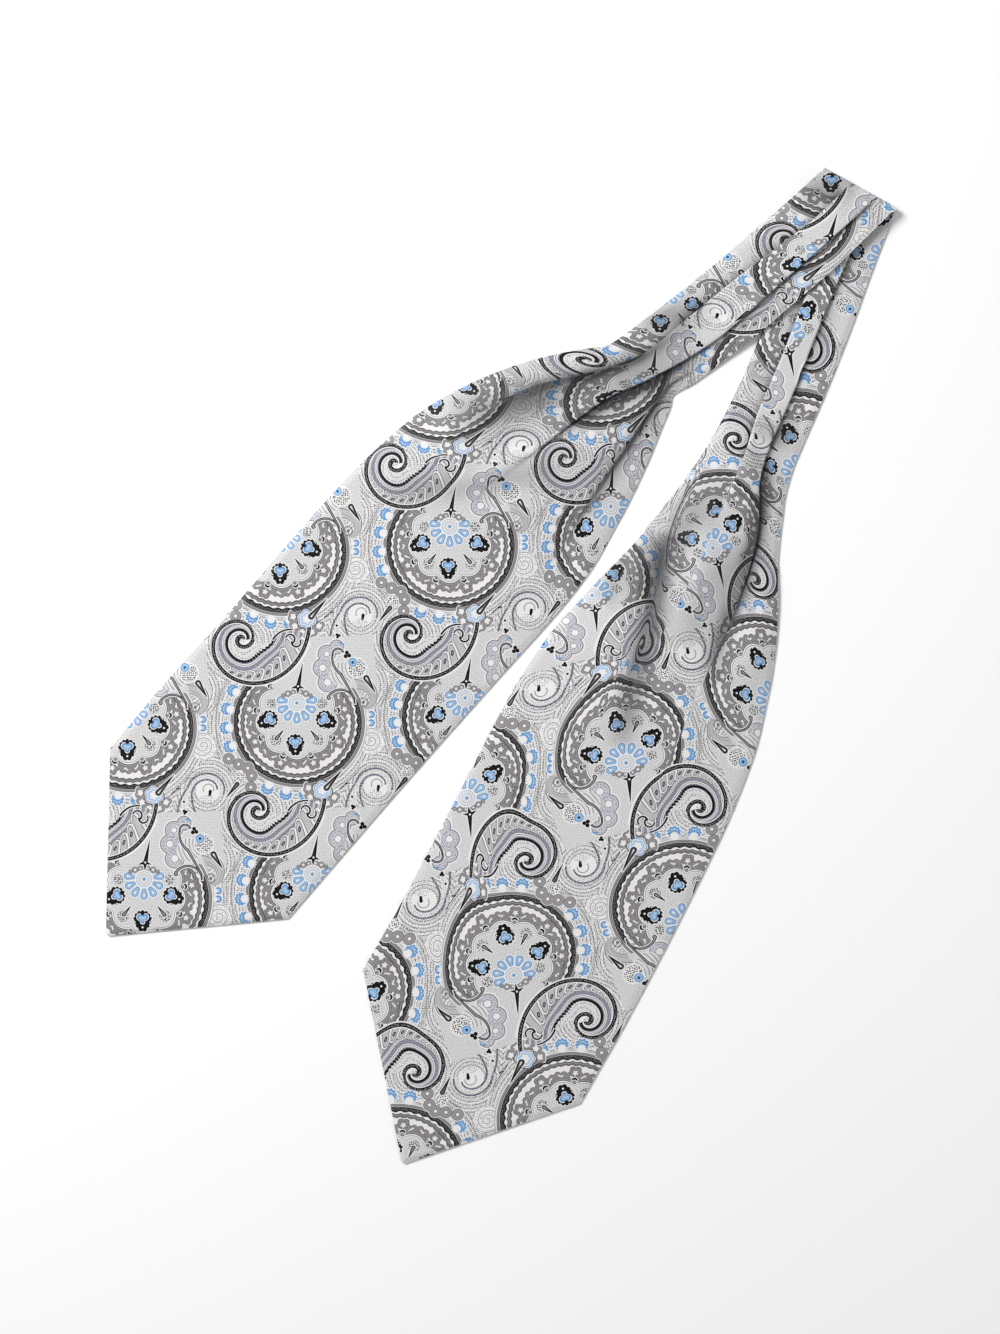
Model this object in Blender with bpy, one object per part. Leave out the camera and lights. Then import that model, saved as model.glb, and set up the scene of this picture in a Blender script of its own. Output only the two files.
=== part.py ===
"""Silk day cravat, folded at the middle of its pleated neckband and laid out flat as a V.

Frame: metres, +Z up. The cravat lies on z = 0. The V opens towards -Y, with the fold of the
neckband at its +Y end. The origin is the bottom centre of the whole cravat's box.

Each limb of the V is worked out in its own axes, in millimetres: "station" runs from the fold's
edge to the limb's point, and "across" runs to the left of that. A limb has a front panel, whose
wall runs through the folds of its box pleat, and a flat back panel under it. Beside the fold the
left limb lies on the right one, and two bent walls carry the neckband's cloth round the fold.
"""

import math

import bpy
import numpy as np

MM = 0.001

# Driving sizes, in millimetres.
WALL = 1.0                            # thickness of one panel
SEAM_GAP = 0.3                        # clear space between panels that lie on each other
PITCH = WALL + SEAM_GAP               # height from one lying layer to the next
PLEAT_LAYERS = 4                      # back panel and the three layers of a pleat
FOLD_RISE = PLEAT_LAYERS * PITCH      # lift of the left limb that clears the right one's pleat
BEND_LENGTH = math.pi * PITCH / 2     # cloth in one bend of a pleat, a half turn where it lies flat
BEND_STEPS = 4
LEAST_TUCK = 0.5                      # cloth between the two bends of a pleat that opens
TIP_SHARE = 0.02                      # share of the pointed end's width that its blunt tip keeps

FOLD_LEFT = (-24.7, -2.3)             # ends of the neckband's fold, from the middle of the fold
FOLD_RIGHT = (24.4, 2.8)
FOLD_SETTLES = 60.0                   # station from which the sections stand square to the limb
SPREAD_FROM, SPREAD_TO = 236.0, 350.0     # stations between which a section's points even out

SILK_GREY = (0.66, 0.66, 0.69, 1.0)
SILK_BACK = (0.58, 0.58, 0.62, 1.0)
SILK_ROUGHNESS = 0.45
SHARP_ANGLE = 50.0                    # degrees between faces, past which an edge is shaded sharp

# One row stands for each place where an edge or a pleat changes its course.
LEFT_LIMB = {
    "angle": -100.25,                 # degrees, from +X to the limb's point
    "point": (637.0, 0.0),             # station and across of the limb's point
    "strips": (4, 3, 8, 3),           # steps across each strip between the pleats
    "lower_edge": {                   # the outer edge of the V
        "station": (4, 40, 80, 120, 150, 173, 184, 200, 225, 255, 290, 330, 390, 440, 510, 540, 556),
        "across": (-23.6, -25.2, -27.8, -31.8, -35.5, -39.4, -47.0, -58.0, -71.8, -83.6, -91.6,
                   -93.5, -90.4, -86.5, -82.5, -80.2, -78.0)},
    "upper_edge": {                   # the inner edge of the V
        "station": (4, 40, 80, 106, 130, 154, 167, 173, 184, 205, 240, 275, 310, 360, 440, 552),
        "across": (23.6, 23.4, 20.8, 18.9, 16.0, 12.6, 9.4, 12.8, 17.4, 26.4, 38.8, 48.6, 53.0, 55.8,
                   60.8, 69.4)},
    "pleats": (
        {"climbs": True,              # outer side of the pleat's centre strip
         "station": (4, 28, 60, 96, 126, 158, 179, 201, 222, 260),
         "across": (-6.1, -6.4, -10.0, -14.6, -17.5, -20.3, -27.9, -40.5, -53.1, -66.0),
         "turn": {"station": (4, 15, 168, 190, 222, 262), "degrees": (3, 180, 180, 150, 60, 2)},
         "tuck": {"station": (14, 28, 140, 172), "depth": (0, 5.0, 5.0, 0)}},
        {"climbs": False,             # inner side of the centre strip
         "station": (4, 37, 76, 119, 144, 172, 199, 222, 245, 290),
         "across": (11.4, 9.7, 7.3, 5.0, 0.4, -7.5, -17.0, -20.5, -23.8, -31.0),
         "turn": {"station": (4, 15, 196, 216, 250, 292), "degrees": (3, 180, 180, 120, 50, 2)},
         "tuck": {"station": (14, 28, 170, 200), "depth": (0, 5.0, 5.0, 0)}},
        {"climbs": False,             # crease where the blade comes out from under the band
         "station": (4, 60, 120, 150, 166, 186, 205, 226, 250, 290),
         "across": (18.0, 16.6, 11.6, 6.8, 3.6, 6.6, 11.0, 15.0, 20.0, 29.5),
         "turn": {"station": (4, 140, 178, 212, 250, 292), "degrees": (2, 2, 172, 150, 62, 2)},
         "tuck": {"station": (4, 600), "depth": (0, 0)}}),
    "lift": {                         # back panel's height over the surface, as shares of FOLD_RISE
        "station": (4, 12, 20, 40, 60, 80, 104, 130, 160),
        "lower": (1.0, 0.93, 0.80, 0.47, 0.20, 0.08, 0, 0, 0),
        "upper": (1.0, 1.08, 1.18, 1.23, 1.10, 0.83, 0.58, 0.20, 0)},
    "puff": {                         # how far the front panel stands off the back panel
        "station": (4, 120, 160, 190, 225, 270, 330, 400, 470, 560),
        "height": (0, 0, 1.2, 4.2, 6.0, 5.0, 2.6, 1.2, 0.8, 0)},
    "creases": (                      # soft troughs, and ridges where the depth is below zero
        {"path": ((186, -22), (206, -31), (232, -40), (262, -56)), "depth": 2.2, "width": 6.0},
        {"path": ((228, -24), (262, -37), (300, -50)), "depth": 1.0, "width": 6.0},
        {"path": ((250, 19), (272, 27), (292, 33)), "depth": 1.8, "width": 8.0},
        {"path": ((176, -33), (204, -47), (240, -62)), "depth": -1.4, "width": 6.0},
        {"path": ((196, -4), (240, -4), (300, -8)), "depth": -1.4, "width": 11.0})}

RIGHT_LIMB = {
    "angle": -80.27,
    "point": (646.6, 1.5),
    "strips": (8, 4, 5),
    "lower_edge": {                   # the inner edge of the V
        "station": (4, 50, 105, 140, 165, 200, 225, 250, 290, 325, 365, 420, 520, 551),
        "across": (-24.5, -21.5, -16.6, -15.2, -15.8, -20.0, -25.4, -31.6, -45.0, -55.0, -60.2, -62.4,
                   -66.8, -69.6)},
    "upper_edge": {                   # the outer edge of the V
        "station": (4, 40, 80, 120, 165, 182, 200, 225, 250, 270, 300, 340, 385, 440, 520, 568),
        "across": (24.9, 27.4, 31.0, 33.5, 35.0, 37.2, 42.6, 51.6, 63.4, 71.4, 80.2, 88.0, 90.4, 89.5,
                   86.0, 82.2)},
    "pleats": (
        {"climbs": True,
         "station": (4, 76, 111, 148, 178, 220, 260),
         "across": (-4.4, -2.4, 0.0, 1.4, 5.0, 7.0, 8.0),
         "turn": {"station": (4, 15, 146, 166, 190, 232), "degrees": (3, 180, 180, 135, 50, 2)},
         "tuck": {"station": (14, 28, 120, 148), "depth": (0, 4.6, 4.6, 0)}},
        {"climbs": False,
         "station": (4, 50, 91, 129, 167, 185, 201, 217, 238, 275),
         "across": (10.6, 11.8, 13.8, 16.3, 17.6, 20.8, 28.1, 34.1, 38.2, 42.0),
         "turn": {"station": (4, 15, 196, 226, 256, 296), "degrees": (3, 180, 180, 130, 60, 2)},
         "tuck": {"station": (14, 28, 150, 186), "depth": (0, 4.6, 4.6, 0)}}),
    "lift": {"station": (4, 600), "lower": (0, 0), "upper": (0, 0)},
    "puff": {
        "station": (4, 130, 170, 205, 240, 285, 340, 400, 470, 560),
        "height": (0, 0, 1.4, 4.4, 6.6, 6.6, 4.0, 1.8, 0.8, 0)},
    "creases": (
        {"path": ((222, 31), (256, 36), (286, 42), (312, 49)), "depth": 3.4, "width": 7.0},
        {"path": ((238, -15), (276, -6), (312, 1), (345, 5)), "depth": 3.2, "width": 6.5},
        {"path": ((258, -36), (290, -28)), "depth": 1.2, "width": 6.0},
        {"path": ((225, 52), (262, 58), (305, 66)), "depth": -1.6, "width": 9.0},
        {"path": ((205, 6), (250, 12), (300, 24)), "depth": -1.4, "width": 10.0})}

FRONT_STATIONS = (4.05, 6.5, 9, 11.5, 14, 19, 28, 42, 60, 80, 104, 125, 146, 157, 167, 173, 180, 188,
                  197, 207, 218, 230, 243, 256, 270, 286, 304, 326, 356, 400, 460, 515)
BACK_STATIONS = (4.05, 9, 14, 19, 28, 42, 60, 80, 104, 125, 146, 157, 167, 173, 188, 207, 230, 256, 286,
                 326, 400, 515)
BACK_STEPS = 8
END_SHARES = (0.0, 0.34, 0.68, 1.0 - TIP_SHARE)   # sections of the pointed end, corner to tip
TURN_STEPS = 12


def read(table, column, station):
    """A table's column at a station, on a curve that stays between its rows' values."""
    x = np.array(table["station"], float)
    y = np.array(table[column], float)
    slope = np.diff(y) / np.diff(x)
    same_way = slope[1:] * slope[:-1] > 0
    total = np.where(same_way, slope[1:] + slope[:-1], 1.0)
    inner = np.where(same_way, 2 * slope[1:] * slope[:-1] / total, 0.0)
    tangent = np.concatenate(([slope[0]], inner, [slope[-1]]))
    s = min(max(station, x[0]), x[-1])
    i = min(int(np.searchsorted(x, s, side="right")) - 1, len(x) - 2)
    h = x[i + 1] - x[i]
    u = (s - x[i]) / h
    return float((2 * u**3 - 3 * u**2 + 1) * y[i] + (u**3 - 2 * u**2 + u) * h * tangent[i]
                 + (3 * u**2 - 2 * u**3) * y[i + 1] + (u**3 - u**2) * h * tangent[i + 1])


def smooth_step(value, low, high):
    u = min(max((value - low) / (high - low), 0.0), 1.0)
    return u * u * (3 - 2 * u)


def fold_slant(limb):
    """Change of station per millimetre across, along the fold's edge."""
    edge = math.atan2(FOLD_RIGHT[1] - FOLD_LEFT[1], FOLD_RIGHT[0] - FOLD_LEFT[0])
    return -math.tan(edge - math.radians(limb["angle"]) - math.pi / 2)


def slanted(limb, station, across):
    """Sections lie along the fold's edge beside it, and turn square to the limb further on."""
    slant = fold_slant(limb)
    first = station / math.cos(math.atan(slant))
    near = 1 - smooth_step(station, FRONT_STATIONS[0], FOLD_SETTLES)
    return station + (first - station + slant * across) * near


def to_part(limb, station, across):
    """From a limb's axes to x and y, in millimetres from the middle of the fold."""
    a = math.radians(limb["angle"])
    return station * math.cos(a) - across * math.sin(a), station * math.sin(a) + across * math.cos(a)


def pleat_path(turn, tuck):
    """A pleat that climbs: a bend, the tucked cloth and the opposite bend.

    Rows of across, height and heading, from the middle of the tuck. Both bends hold the same length
    of cloth, so the pleat opens into a flat stretch as its turn goes to nothing. A half open pleat
    stands no higher than one that lies flat.
    """
    radius = BEND_LENGTH / turn
    half = max(tuck, LEAST_TUCK) / 2
    x0, z0 = half * math.cos(turn), half * math.sin(turn)
    heading = turn * np.arange(BEND_STEPS, -1, -1) / BEND_STEPS
    x = x0 + radius * (math.sin(turn) - np.sin(heading))
    z = z0 + radius * (np.cos(heading) - math.cos(turn))
    upper = np.stack((x, z * min(1.0, PITCH / z[-1]), heading), 1)
    lower = upper[::-1] * (-1, -1, 1)
    return np.concatenate((lower, upper))


def placed_pleats(limb, station):
    """The path of each pleat at a station, moved to its place across the limb."""
    paths = []
    for pleat in limb["pleats"]:
        turn = math.radians(read(pleat["turn"], "degrees", station))
        tuck = read(pleat["tuck"], "depth", station)
        path = pleat_path(turn, tuck)
        # The fold that shows stands at the table's place, so the path's middle lies behind it.
        behind = (max(tuck, LEAST_TUCK) + PITCH + WALL) / 2 * (1 - math.cos(turn)) / 2
        if pleat["climbs"]:
            path[:, 0] += read(pleat, "across", station) + behind
        else:
            path = path[::-1] * (-1, 1, -1)
            path[:, 0] += read(pleat, "across", station) - behind
        paths.append(path)
    return paths


def stack_pleats(paths):
    """Set the pleats' heights: the last strip lies on the back panel, and so does the first one
    unless the pleats that step down after it are higher than its own."""
    level = 0.0
    for path in reversed(paths[1:]):
        path[:, 1] += level - path[-1, 1]
        level = path[0, 1]
    first = paths[0]
    rise = first[-1, 1] - first[0, 1]
    first[:, 1] += max(level - rise, 0.0) - first[0, 1]


def section(limb, station):
    """The front panel's middle line at a station, as rows of across, height and heading."""
    lower = read(limb["lower_edge"], "across", station)
    upper = read(limb["upper_edge"], "across", station)
    paths = placed_pleats(limb, station)
    stack_pleats(paths)
    paths.append(np.array([(upper, 0.0, 0.0)]))
    start = np.array((lower, 0.0, 0.0))
    rows = [start[None]]
    for steps, path in zip(limb["strips"], paths):
        share = np.arange(1, steps)[:, None] / steps
        rows += [start + (path[0] - start) * share, path]
        start = path[-1]
    rows = np.concatenate(rows)
    even = np.linspace(lower, upper, len(rows))
    rows[:, 0] += (even - rows[:, 0]) * smooth_step(station, SPREAD_FROM, SPREAD_TO)
    return rows


def stand_off(limb, station, across, share):
    """Height that the puff adds as half a sine wave, and the creases as bells beside their paths."""
    height = read(limb["puff"], "height", station) * np.sin(math.pi * share)
    place = np.stack((np.full(len(across), station), across), 1)
    for crease in limb["creases"]:
        path = np.array(crease["path"], float)
        nearest = np.full(len(across), np.inf)
        for a, b in zip(path[:-1], path[1:]):
            along = np.clip((place - a) @ (b - a) / np.sum((b - a)**2), 0, 1)
            nearest = np.minimum(nearest, np.linalg.norm(place - a - along[:, None] * (b - a), axis=1))
        height = height - crease["depth"] * np.exp(-(nearest / crease["width"])**2)
    return np.maximum(height, 0.0)


def lift(limb, station, share):
    low = read(limb["lift"], "lower", station)
    high = read(limb["lift"], "upper", station)
    return FOLD_RISE * (low + (high - low) * share)


def blade_end(limb, across_points, heights):
    """Sections of the pointed end: the corner section drawn together towards the point."""
    edges = limb["lower_edge"], limb["upper_edge"]
    corners = np.array([(edge["station"][-1], edge["across"][-1]) for edge in edges])
    share = np.linspace(0, 1, across_points)[:, None]
    line = corners[0] + (corners[1] - corners[0]) * share
    ends = []
    for closing in END_SHARES:
        x, y = to_part(limb, *(line + (np.array(limb["point"]) - line) * closing).T)
        ends.append([np.stack((x, y, np.full(across_points, z)), 1) for z in heights])
    return ends


def front_sections(limb):
    """Upper and lower points of the front panel's wall, for each section."""
    sections = []
    for station in FRONT_STATIONS:
        rows = section(limb, station)
        across, height, heading = rows.T
        share = np.clip((across - across[0]) / (across[-1] - across[0]), 0, 1)
        base = PITCH + WALL / 2 + lift(limb, station, share) + stand_off(limb, station, across, share)
        pair = []
        for side in (1, -1):
            t = across - side * WALL / 2 * np.sin(heading)
            z = base + height + side * WALL / 2 * np.cos(heading)
            pair.append(np.stack((*to_part(limb, slanted(limb, station, t), t), z), 1))
        sections.append(pair)
    return sections + blade_end(limb, len(rows), (PITCH + WALL, PITCH))


def back_sections(limb):
    """Upper and lower points of the flat back panel's wall, for each section."""
    sections = []
    share = np.linspace(0, 1, BACK_STEPS + 1)
    for station in BACK_STATIONS:
        low = read(limb["lower_edge"], "across", station)
        across = low + (read(limb["upper_edge"], "across", station) - low) * share
        x, y = to_part(limb, slanted(limb, station, across), across)
        z = lift(limb, station, share)
        sections.append([np.stack((x, y, z + WALL), 1), np.stack((x, y, z), 1)])
    return sections + blade_end(limb, BACK_STEPS + 1, (WALL, 0.0))


def turn_sections(inner_radius):
    """A wall bent half round the fold, from the lower limb up to the upper one."""
    left, right = np.array(FOLD_LEFT), np.array(FOLD_RIGHT)
    edge = (right - left) / np.linalg.norm(right - left)
    outward = np.array((-edge[1], edge[0]))
    outer_radius = (FOLD_RISE + PITCH + WALL) / 2
    axis_back = outer_radius * outward
    sections = []
    for angle in np.linspace(-math.pi / 2, math.pi / 2, TURN_STEPS + 1):
        pair = []
        for radius in (inner_radius + WALL, inner_radius):
            out = radius * math.cos(angle)
            height = outer_radius + radius * math.sin(angle)
            ends = [corner - axis_back + out * outward for corner in (left, (left + right) / 2, right)]
            pair.append(np.array([(x, y, height) for x, y in ends]))
        sections.append(pair)
    return sections


def wall_mesh(sections):
    """Vertices and faces of one closed wall through its sections."""
    grid = np.array(sections)                       # section, side, point, xyz
    count, _, points, _ = grid.shape
    ring = np.concatenate((grid[:, 0], grid[:, 1, ::-1]), 1)
    size = 2 * points
    faces = []
    for i in range(count - 1):
        for j in range(size):
            a, b = i * size + j, i * size + (j + 1) % size
            faces.append((a, a + size, b + size, b))
    last = (count - 1) * size
    for j in range(points - 1):
        faces.append((j, j + 1, size - 2 - j, size - 1 - j))
        faces.append((last + j + 1, last + j, last + size - 1 - j, last + size - 2 - j))
    return ring.reshape(-1, 3), faces


def silk(name, colour):
    material = bpy.data.materials.new(name)
    material.use_nodes = True
    shader = material.node_tree.nodes["Principled BSDF"]
    shader.inputs["Base Color"].default_value = colour
    shader.inputs["Roughness"].default_value = SILK_ROUGHNESS
    shader.inputs["Metallic"].default_value = 0.0
    return material


def add_piece(name, vertices, faces, colour):
    mesh = bpy.data.meshes.new(name)
    mesh.from_pydata((vertices * MM).tolist(), [], faces)
    mesh.validate()
    mesh.shade_smooth()
    mesh.set_sharp_from_angle(angle=math.radians(SHARP_ANGLE))
    mesh.materials.append(silk(name + "_silk", colour))
    piece = bpy.data.objects.new(name, mesh)
    bpy.context.scene.collection.objects.link(piece)
    return piece


def main():
    for old in list(bpy.data.objects):
        bpy.data.objects.remove(old, do_unlink=True)
    outer_radius = (FOLD_RISE + PITCH + WALL) / 2
    pieces = {
        "left_front": (front_sections(LEFT_LIMB), SILK_GREY),
        "left_back": (back_sections(LEFT_LIMB), SILK_BACK),
        "right_front": (front_sections(RIGHT_LIMB), SILK_GREY),
        "right_back": (back_sections(RIGHT_LIMB), SILK_BACK),
        "neck_turn_outer": (turn_sections(outer_radius - WALL), SILK_GREY),
        "neck_turn_inner": (turn_sections(outer_radius - WALL - PITCH), SILK_BACK)}
    meshes = {name: (*wall_mesh(sections), colour) for name, (sections, colour) in pieces.items()}
    every = np.concatenate([mesh[0] for mesh in meshes.values()])
    centre = (every.min(0) + every.max(0)) / 2 * (1, 1, 0)
    for name, (vertices, faces, colour) in meshes.items():
        add_piece(name, vertices - centre, faces, colour)


main()
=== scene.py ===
import math

import bpy
import mathutils
import numpy as np
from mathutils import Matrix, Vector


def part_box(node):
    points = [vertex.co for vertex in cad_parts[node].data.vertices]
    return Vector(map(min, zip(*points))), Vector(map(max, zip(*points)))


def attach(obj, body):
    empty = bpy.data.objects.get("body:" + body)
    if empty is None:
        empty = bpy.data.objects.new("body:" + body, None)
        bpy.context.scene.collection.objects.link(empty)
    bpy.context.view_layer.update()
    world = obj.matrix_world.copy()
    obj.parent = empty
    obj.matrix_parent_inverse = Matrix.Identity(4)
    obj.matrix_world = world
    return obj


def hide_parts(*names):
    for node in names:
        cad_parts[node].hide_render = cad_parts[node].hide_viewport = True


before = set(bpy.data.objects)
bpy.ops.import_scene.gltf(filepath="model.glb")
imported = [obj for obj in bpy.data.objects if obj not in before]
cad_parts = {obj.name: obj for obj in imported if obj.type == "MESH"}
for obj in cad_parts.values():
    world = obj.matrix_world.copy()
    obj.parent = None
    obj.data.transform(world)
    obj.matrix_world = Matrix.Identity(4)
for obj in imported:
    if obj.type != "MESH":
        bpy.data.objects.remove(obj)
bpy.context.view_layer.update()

mm = 0.001
print("frame loaded")

# what all four panels share, in millimetres
cloth = {
    "thickness": 0.45,
    "backThickness": 0.6,
    "backGap": 0.03,                 # from the surface to the lowest panel
    "pitch": 1.3,                    # height from one lying layer to the next
    "layer": 1.0,                    # room that one layer takes
    "pleatLayers": 4,
    "bendLength": math.pi * 1.3 / 2,     # cloth in each of a pleat's two bends
    "bendSteps": 6,
    "leastTuck": 0.5,
    "foldLeft": (-24.7, -2.3),       # ends of the neckband's fold, from its middle
    "foldRight": (24.4, 2.8),
    "firstStation": 4.05,            # where the bend round the fold begins
    "foldSettles": 60.0,             # from here the rows stand square to the limb
    "lastStation": 515.0,            # from here the panel runs straight to its corners
    "spreadFrom": 236.0,             # between these the points even out over the blade's width
    "spreadTo": 350.0,
    "edgeRoll": 3.5,                 # width over which an edge rolls down to the panel under it
    "edgeDrop": 0.8,
    "rowStep": 1.55,                 # spacing of the rows along a front panel
    "backStep": 4.0,
    "backColumns": 36,
    "turnSteps": 24,
    "crown": 0.5,                    # rise of the blade's middle at its corners
    "sharpAngle": 50.0,
    "leeShade": 0.48,                # painted shade on the lower cloth beside a pleat's lip,
    "leeReach": 3.5,                 # and how far that reaches
    "deepestShade": 0.88,
    "fadeShare": 0.28,               # part of a crease's length over which either end fades
    "tipShare": 0.015}               # how near the last row comes to the point

foldRise = cloth["pleatLayers"] * cloth["pitch"]
turnRadius = (foldRise + cloth["pitch"] + cloth["layer"]) / 2
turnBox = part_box("neck_turn_outer")
foldMiddle = (turnBox[0][0] / mm - cloth["foldLeft"][0], turnBox[1][1] / mm - cloth["foldRight"][1])


def readTable(table, column, station):
    # monotone cubic through the rows: y = h00 y0 + h10 h m0 + h01 y1 + h11 h m1
    x = np.array(table["station"], float)
    y = np.array(table[column], float)
    slope = np.diff(y) / np.diff(x)
    sameWay = slope[1:] * slope[:-1] > 0
    total = np.where(sameWay, slope[1:] + slope[:-1], 1.0)
    inner = np.where(sameWay, 2 * slope[1:] * slope[:-1] / total, 0.0)
    tangent = np.concatenate(([slope[0]], inner, [slope[-1]]))
    s = np.clip(station, x[0], x[-1])
    i = np.clip(np.searchsorted(x, s, side="right") - 1, 0, len(x) - 2)
    h = x[i + 1] - x[i]
    u = (s - x[i]) / h
    return ((2 * u**3 - 3 * u**2 + 1) * y[i] + (u**3 - 2 * u**2 + u) * h * tangent[i]
            + (3 * u**2 - 2 * u**3) * y[i + 1] + (u**3 - u**2) * h * tangent[i + 1])


def smoothStep(value, low, high):
    # u^2 (3 - 2 u), where u runs from 0 at low to 1 at high
    u = np.clip((value - low) / (high - low), 0, 1)
    return u * u * (3 - 2 * u)


def stationRows(step):
    # even rows along a limb, s = first + (last - first) i / n
    first, last = cloth["firstStation"], cloth["lastStation"]
    return np.linspace(first, last, 1 + int((last - first) / step))


def liftOffFloor(limb, station, share):
    # rise of the fold x (low + (high - low) share), between the lifts of a limb's two edges
    low, high = (readTable(limb["lift"], side, station)[:, None] for side in ("lower", "upper"))
    return foldRise * (low + (high - low) * share)


def slanted(limb, station, across):
    # s + (s / cos(atan k) - s + k t) near the fold, where k is the slant of the fold's edge
    left, right = cloth["foldLeft"], cloth["foldRight"]
    edge = math.atan2(right[1] - left[1], right[0] - left[0])
    slant = -math.tan(edge - math.radians(limb["angle"]) - math.pi / 2)
    near = 1 - smoothStep(station, cloth["firstStation"], cloth["foldSettles"])
    return station + (station / math.cos(math.atan(slant)) - station + slant * across) * near


def toPart(limb, station, across):
    # x = s cos a - t sin a, y = s sin a + t cos a, from the middle of the fold
    a = math.radians(limb["angle"])
    return (foldMiddle[0] + station * math.cos(a) - across * math.sin(a),
            foldMiddle[1] + station * math.sin(a) + across * math.cos(a))


def pleatPath(turn, tuck):
    # two bends of one cloth length, joined by the tucked stretch, with r = bend length / w:
    # x = tuck/2 cos w + r (sin w - sin h), z = tuck/2 sin w + r (cos h - cos w)
    steps = cloth["bendSteps"]
    radius = (cloth["bendLength"] / turn)[:, None]
    half = (np.maximum(tuck, cloth["leastTuck"]) / 2)[:, None]
    w = turn[:, None]
    heading = w * np.arange(steps, -1, -1) / steps
    x = half * np.cos(w) + radius * (np.sin(w) - np.sin(heading))
    z = half * np.sin(w) + radius * (np.cos(heading) - np.cos(w))
    z = z * np.minimum(1.0, cloth["pitch"] / z[:, -1:])
    return (np.concatenate((-x[:, ::-1], x), 1), np.concatenate((-z[:, ::-1], z), 1),
            np.concatenate((heading[:, ::-1], heading), 1))


def frontSection(limb, station):
    # the front panel's middle line at each station, strip by strip and pleat by pleat:
    # an array of (across, height, heading, cut) by station by column, and each column's strip.
    # cut is across as measured on the flat cloth of that strip
    bend = cloth["bendLength"] * np.arange(cloth["bendSteps"] + 1) / cloth["bendSteps"]
    lower = readTable(limb["lowerEdge"], "across", station)
    upper = readTable(limb["upperEdge"], "across", station)
    zero = np.zeros(len(station))
    paths = []
    for pleat in limb["pleats"]:
        turn = np.radians(readTable(pleat["turn"], "degrees", station))
        tuck = readTable(pleat["tuck"], "depth", station)
        x, z, heading = pleatPath(turn, tuck)
        behind = (np.maximum(tuck, cloth["leastTuck"]) + cloth["pitch"] + cloth["layer"]) / 2
        behind = (behind * (1 - np.cos(turn)) / 2)[:, None]
        place = readTable(pleat, "across", station)[:, None]
        if pleat["climbs"]:
            x = x + place + behind
        else:
            x, z, heading = place - behind - x[:, ::-1], z[:, ::-1], -heading[:, ::-1]
        cut = np.concatenate((x[:, :1] + bend, x[:, -1:] - bend[::-1]), 1)
        paths.append(np.stack((x, z, heading, cut)))
    level = zero
    for path in reversed(paths[1:]):
        path[1] += (level - path[1][:, -1])[:, None]
        level = path[1][:, 0].copy()
    first = paths[0][1]
    rise = first[:, -1] - first[:, 0]
    first += (np.maximum(level - rise, 0.0) - first[:, 0])[:, None]
    paths.append(np.stack((upper, zero, zero, upper))[:, :, None])
    start = np.stack((lower, zero, zero, lower))[:, :, None]
    rows, strips = [start], [0]
    for index, (count, path) in enumerate(zip(limb["columns"], paths)):
        share = np.arange(1, count) / count
        rows += [start + (path[:, :, :1] - start) * share, path]
        half = path.shape[2] // 2
        strips += [index] * (count - 1 + path.shape[2] - half) + [index + 1] * half
        start = path[:, :, -1:]
    rows = np.concatenate(rows, 2)
    even = lower[:, None] + (upper - lower)[:, None] * np.linspace(0, 1, rows.shape[2])
    spread = smoothStep(station, cloth["spreadFrom"], cloth["spreadTo"])[:, None]
    rows[0] += (even - rows[0]) * spread
    rows[3] += (even - rows[3]) * spread
    return rows, np.array(strips)


def furrow(depth, width, *path, strips=None):
    # a crease along a path of (station, across) points: a trough, or a ridge if its depth is below
    # zero; in a table of shades, a stroke of painted shade as dark as its depth
    return {"depth": depth, "width": width, "path": np.array(path, float), "strips": strips}


def creaseHeight(creases, station, across):
    # sum of -depth exp(-(d / width)^2), where d is the distance to the crease's path
    height = np.zeros(np.broadcast(station, across).shape)
    for crease in creases:
        path = crease["path"]
        nearest = np.full(height.shape, np.inf)
        along = np.zeros(height.shape)
        length = 0.0
        for a, b in zip(path[:-1], path[1:]):
            step = b - a
            share = ((station - a[0]) * step[0] + (across - a[1]) * step[1]) / (step @ step)
            share = np.clip(share, 0, 1)
            away = np.hypot(station - a[0] - share * step[0], across - a[1] - share * step[1])
            span = math.hypot(*step)
            along = np.where(away < nearest, length + share * span, along)
            nearest = np.minimum(nearest, away)
            length += span
        fromEnd = np.minimum(along, length - along) / (cloth["fadeShare"] * length)
        fade = np.sqrt(np.clip(fromEnd, 0, 1))
        height -= crease["depth"] * fade * np.exp(-(nearest / crease["width"])**2)
    return height


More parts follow.
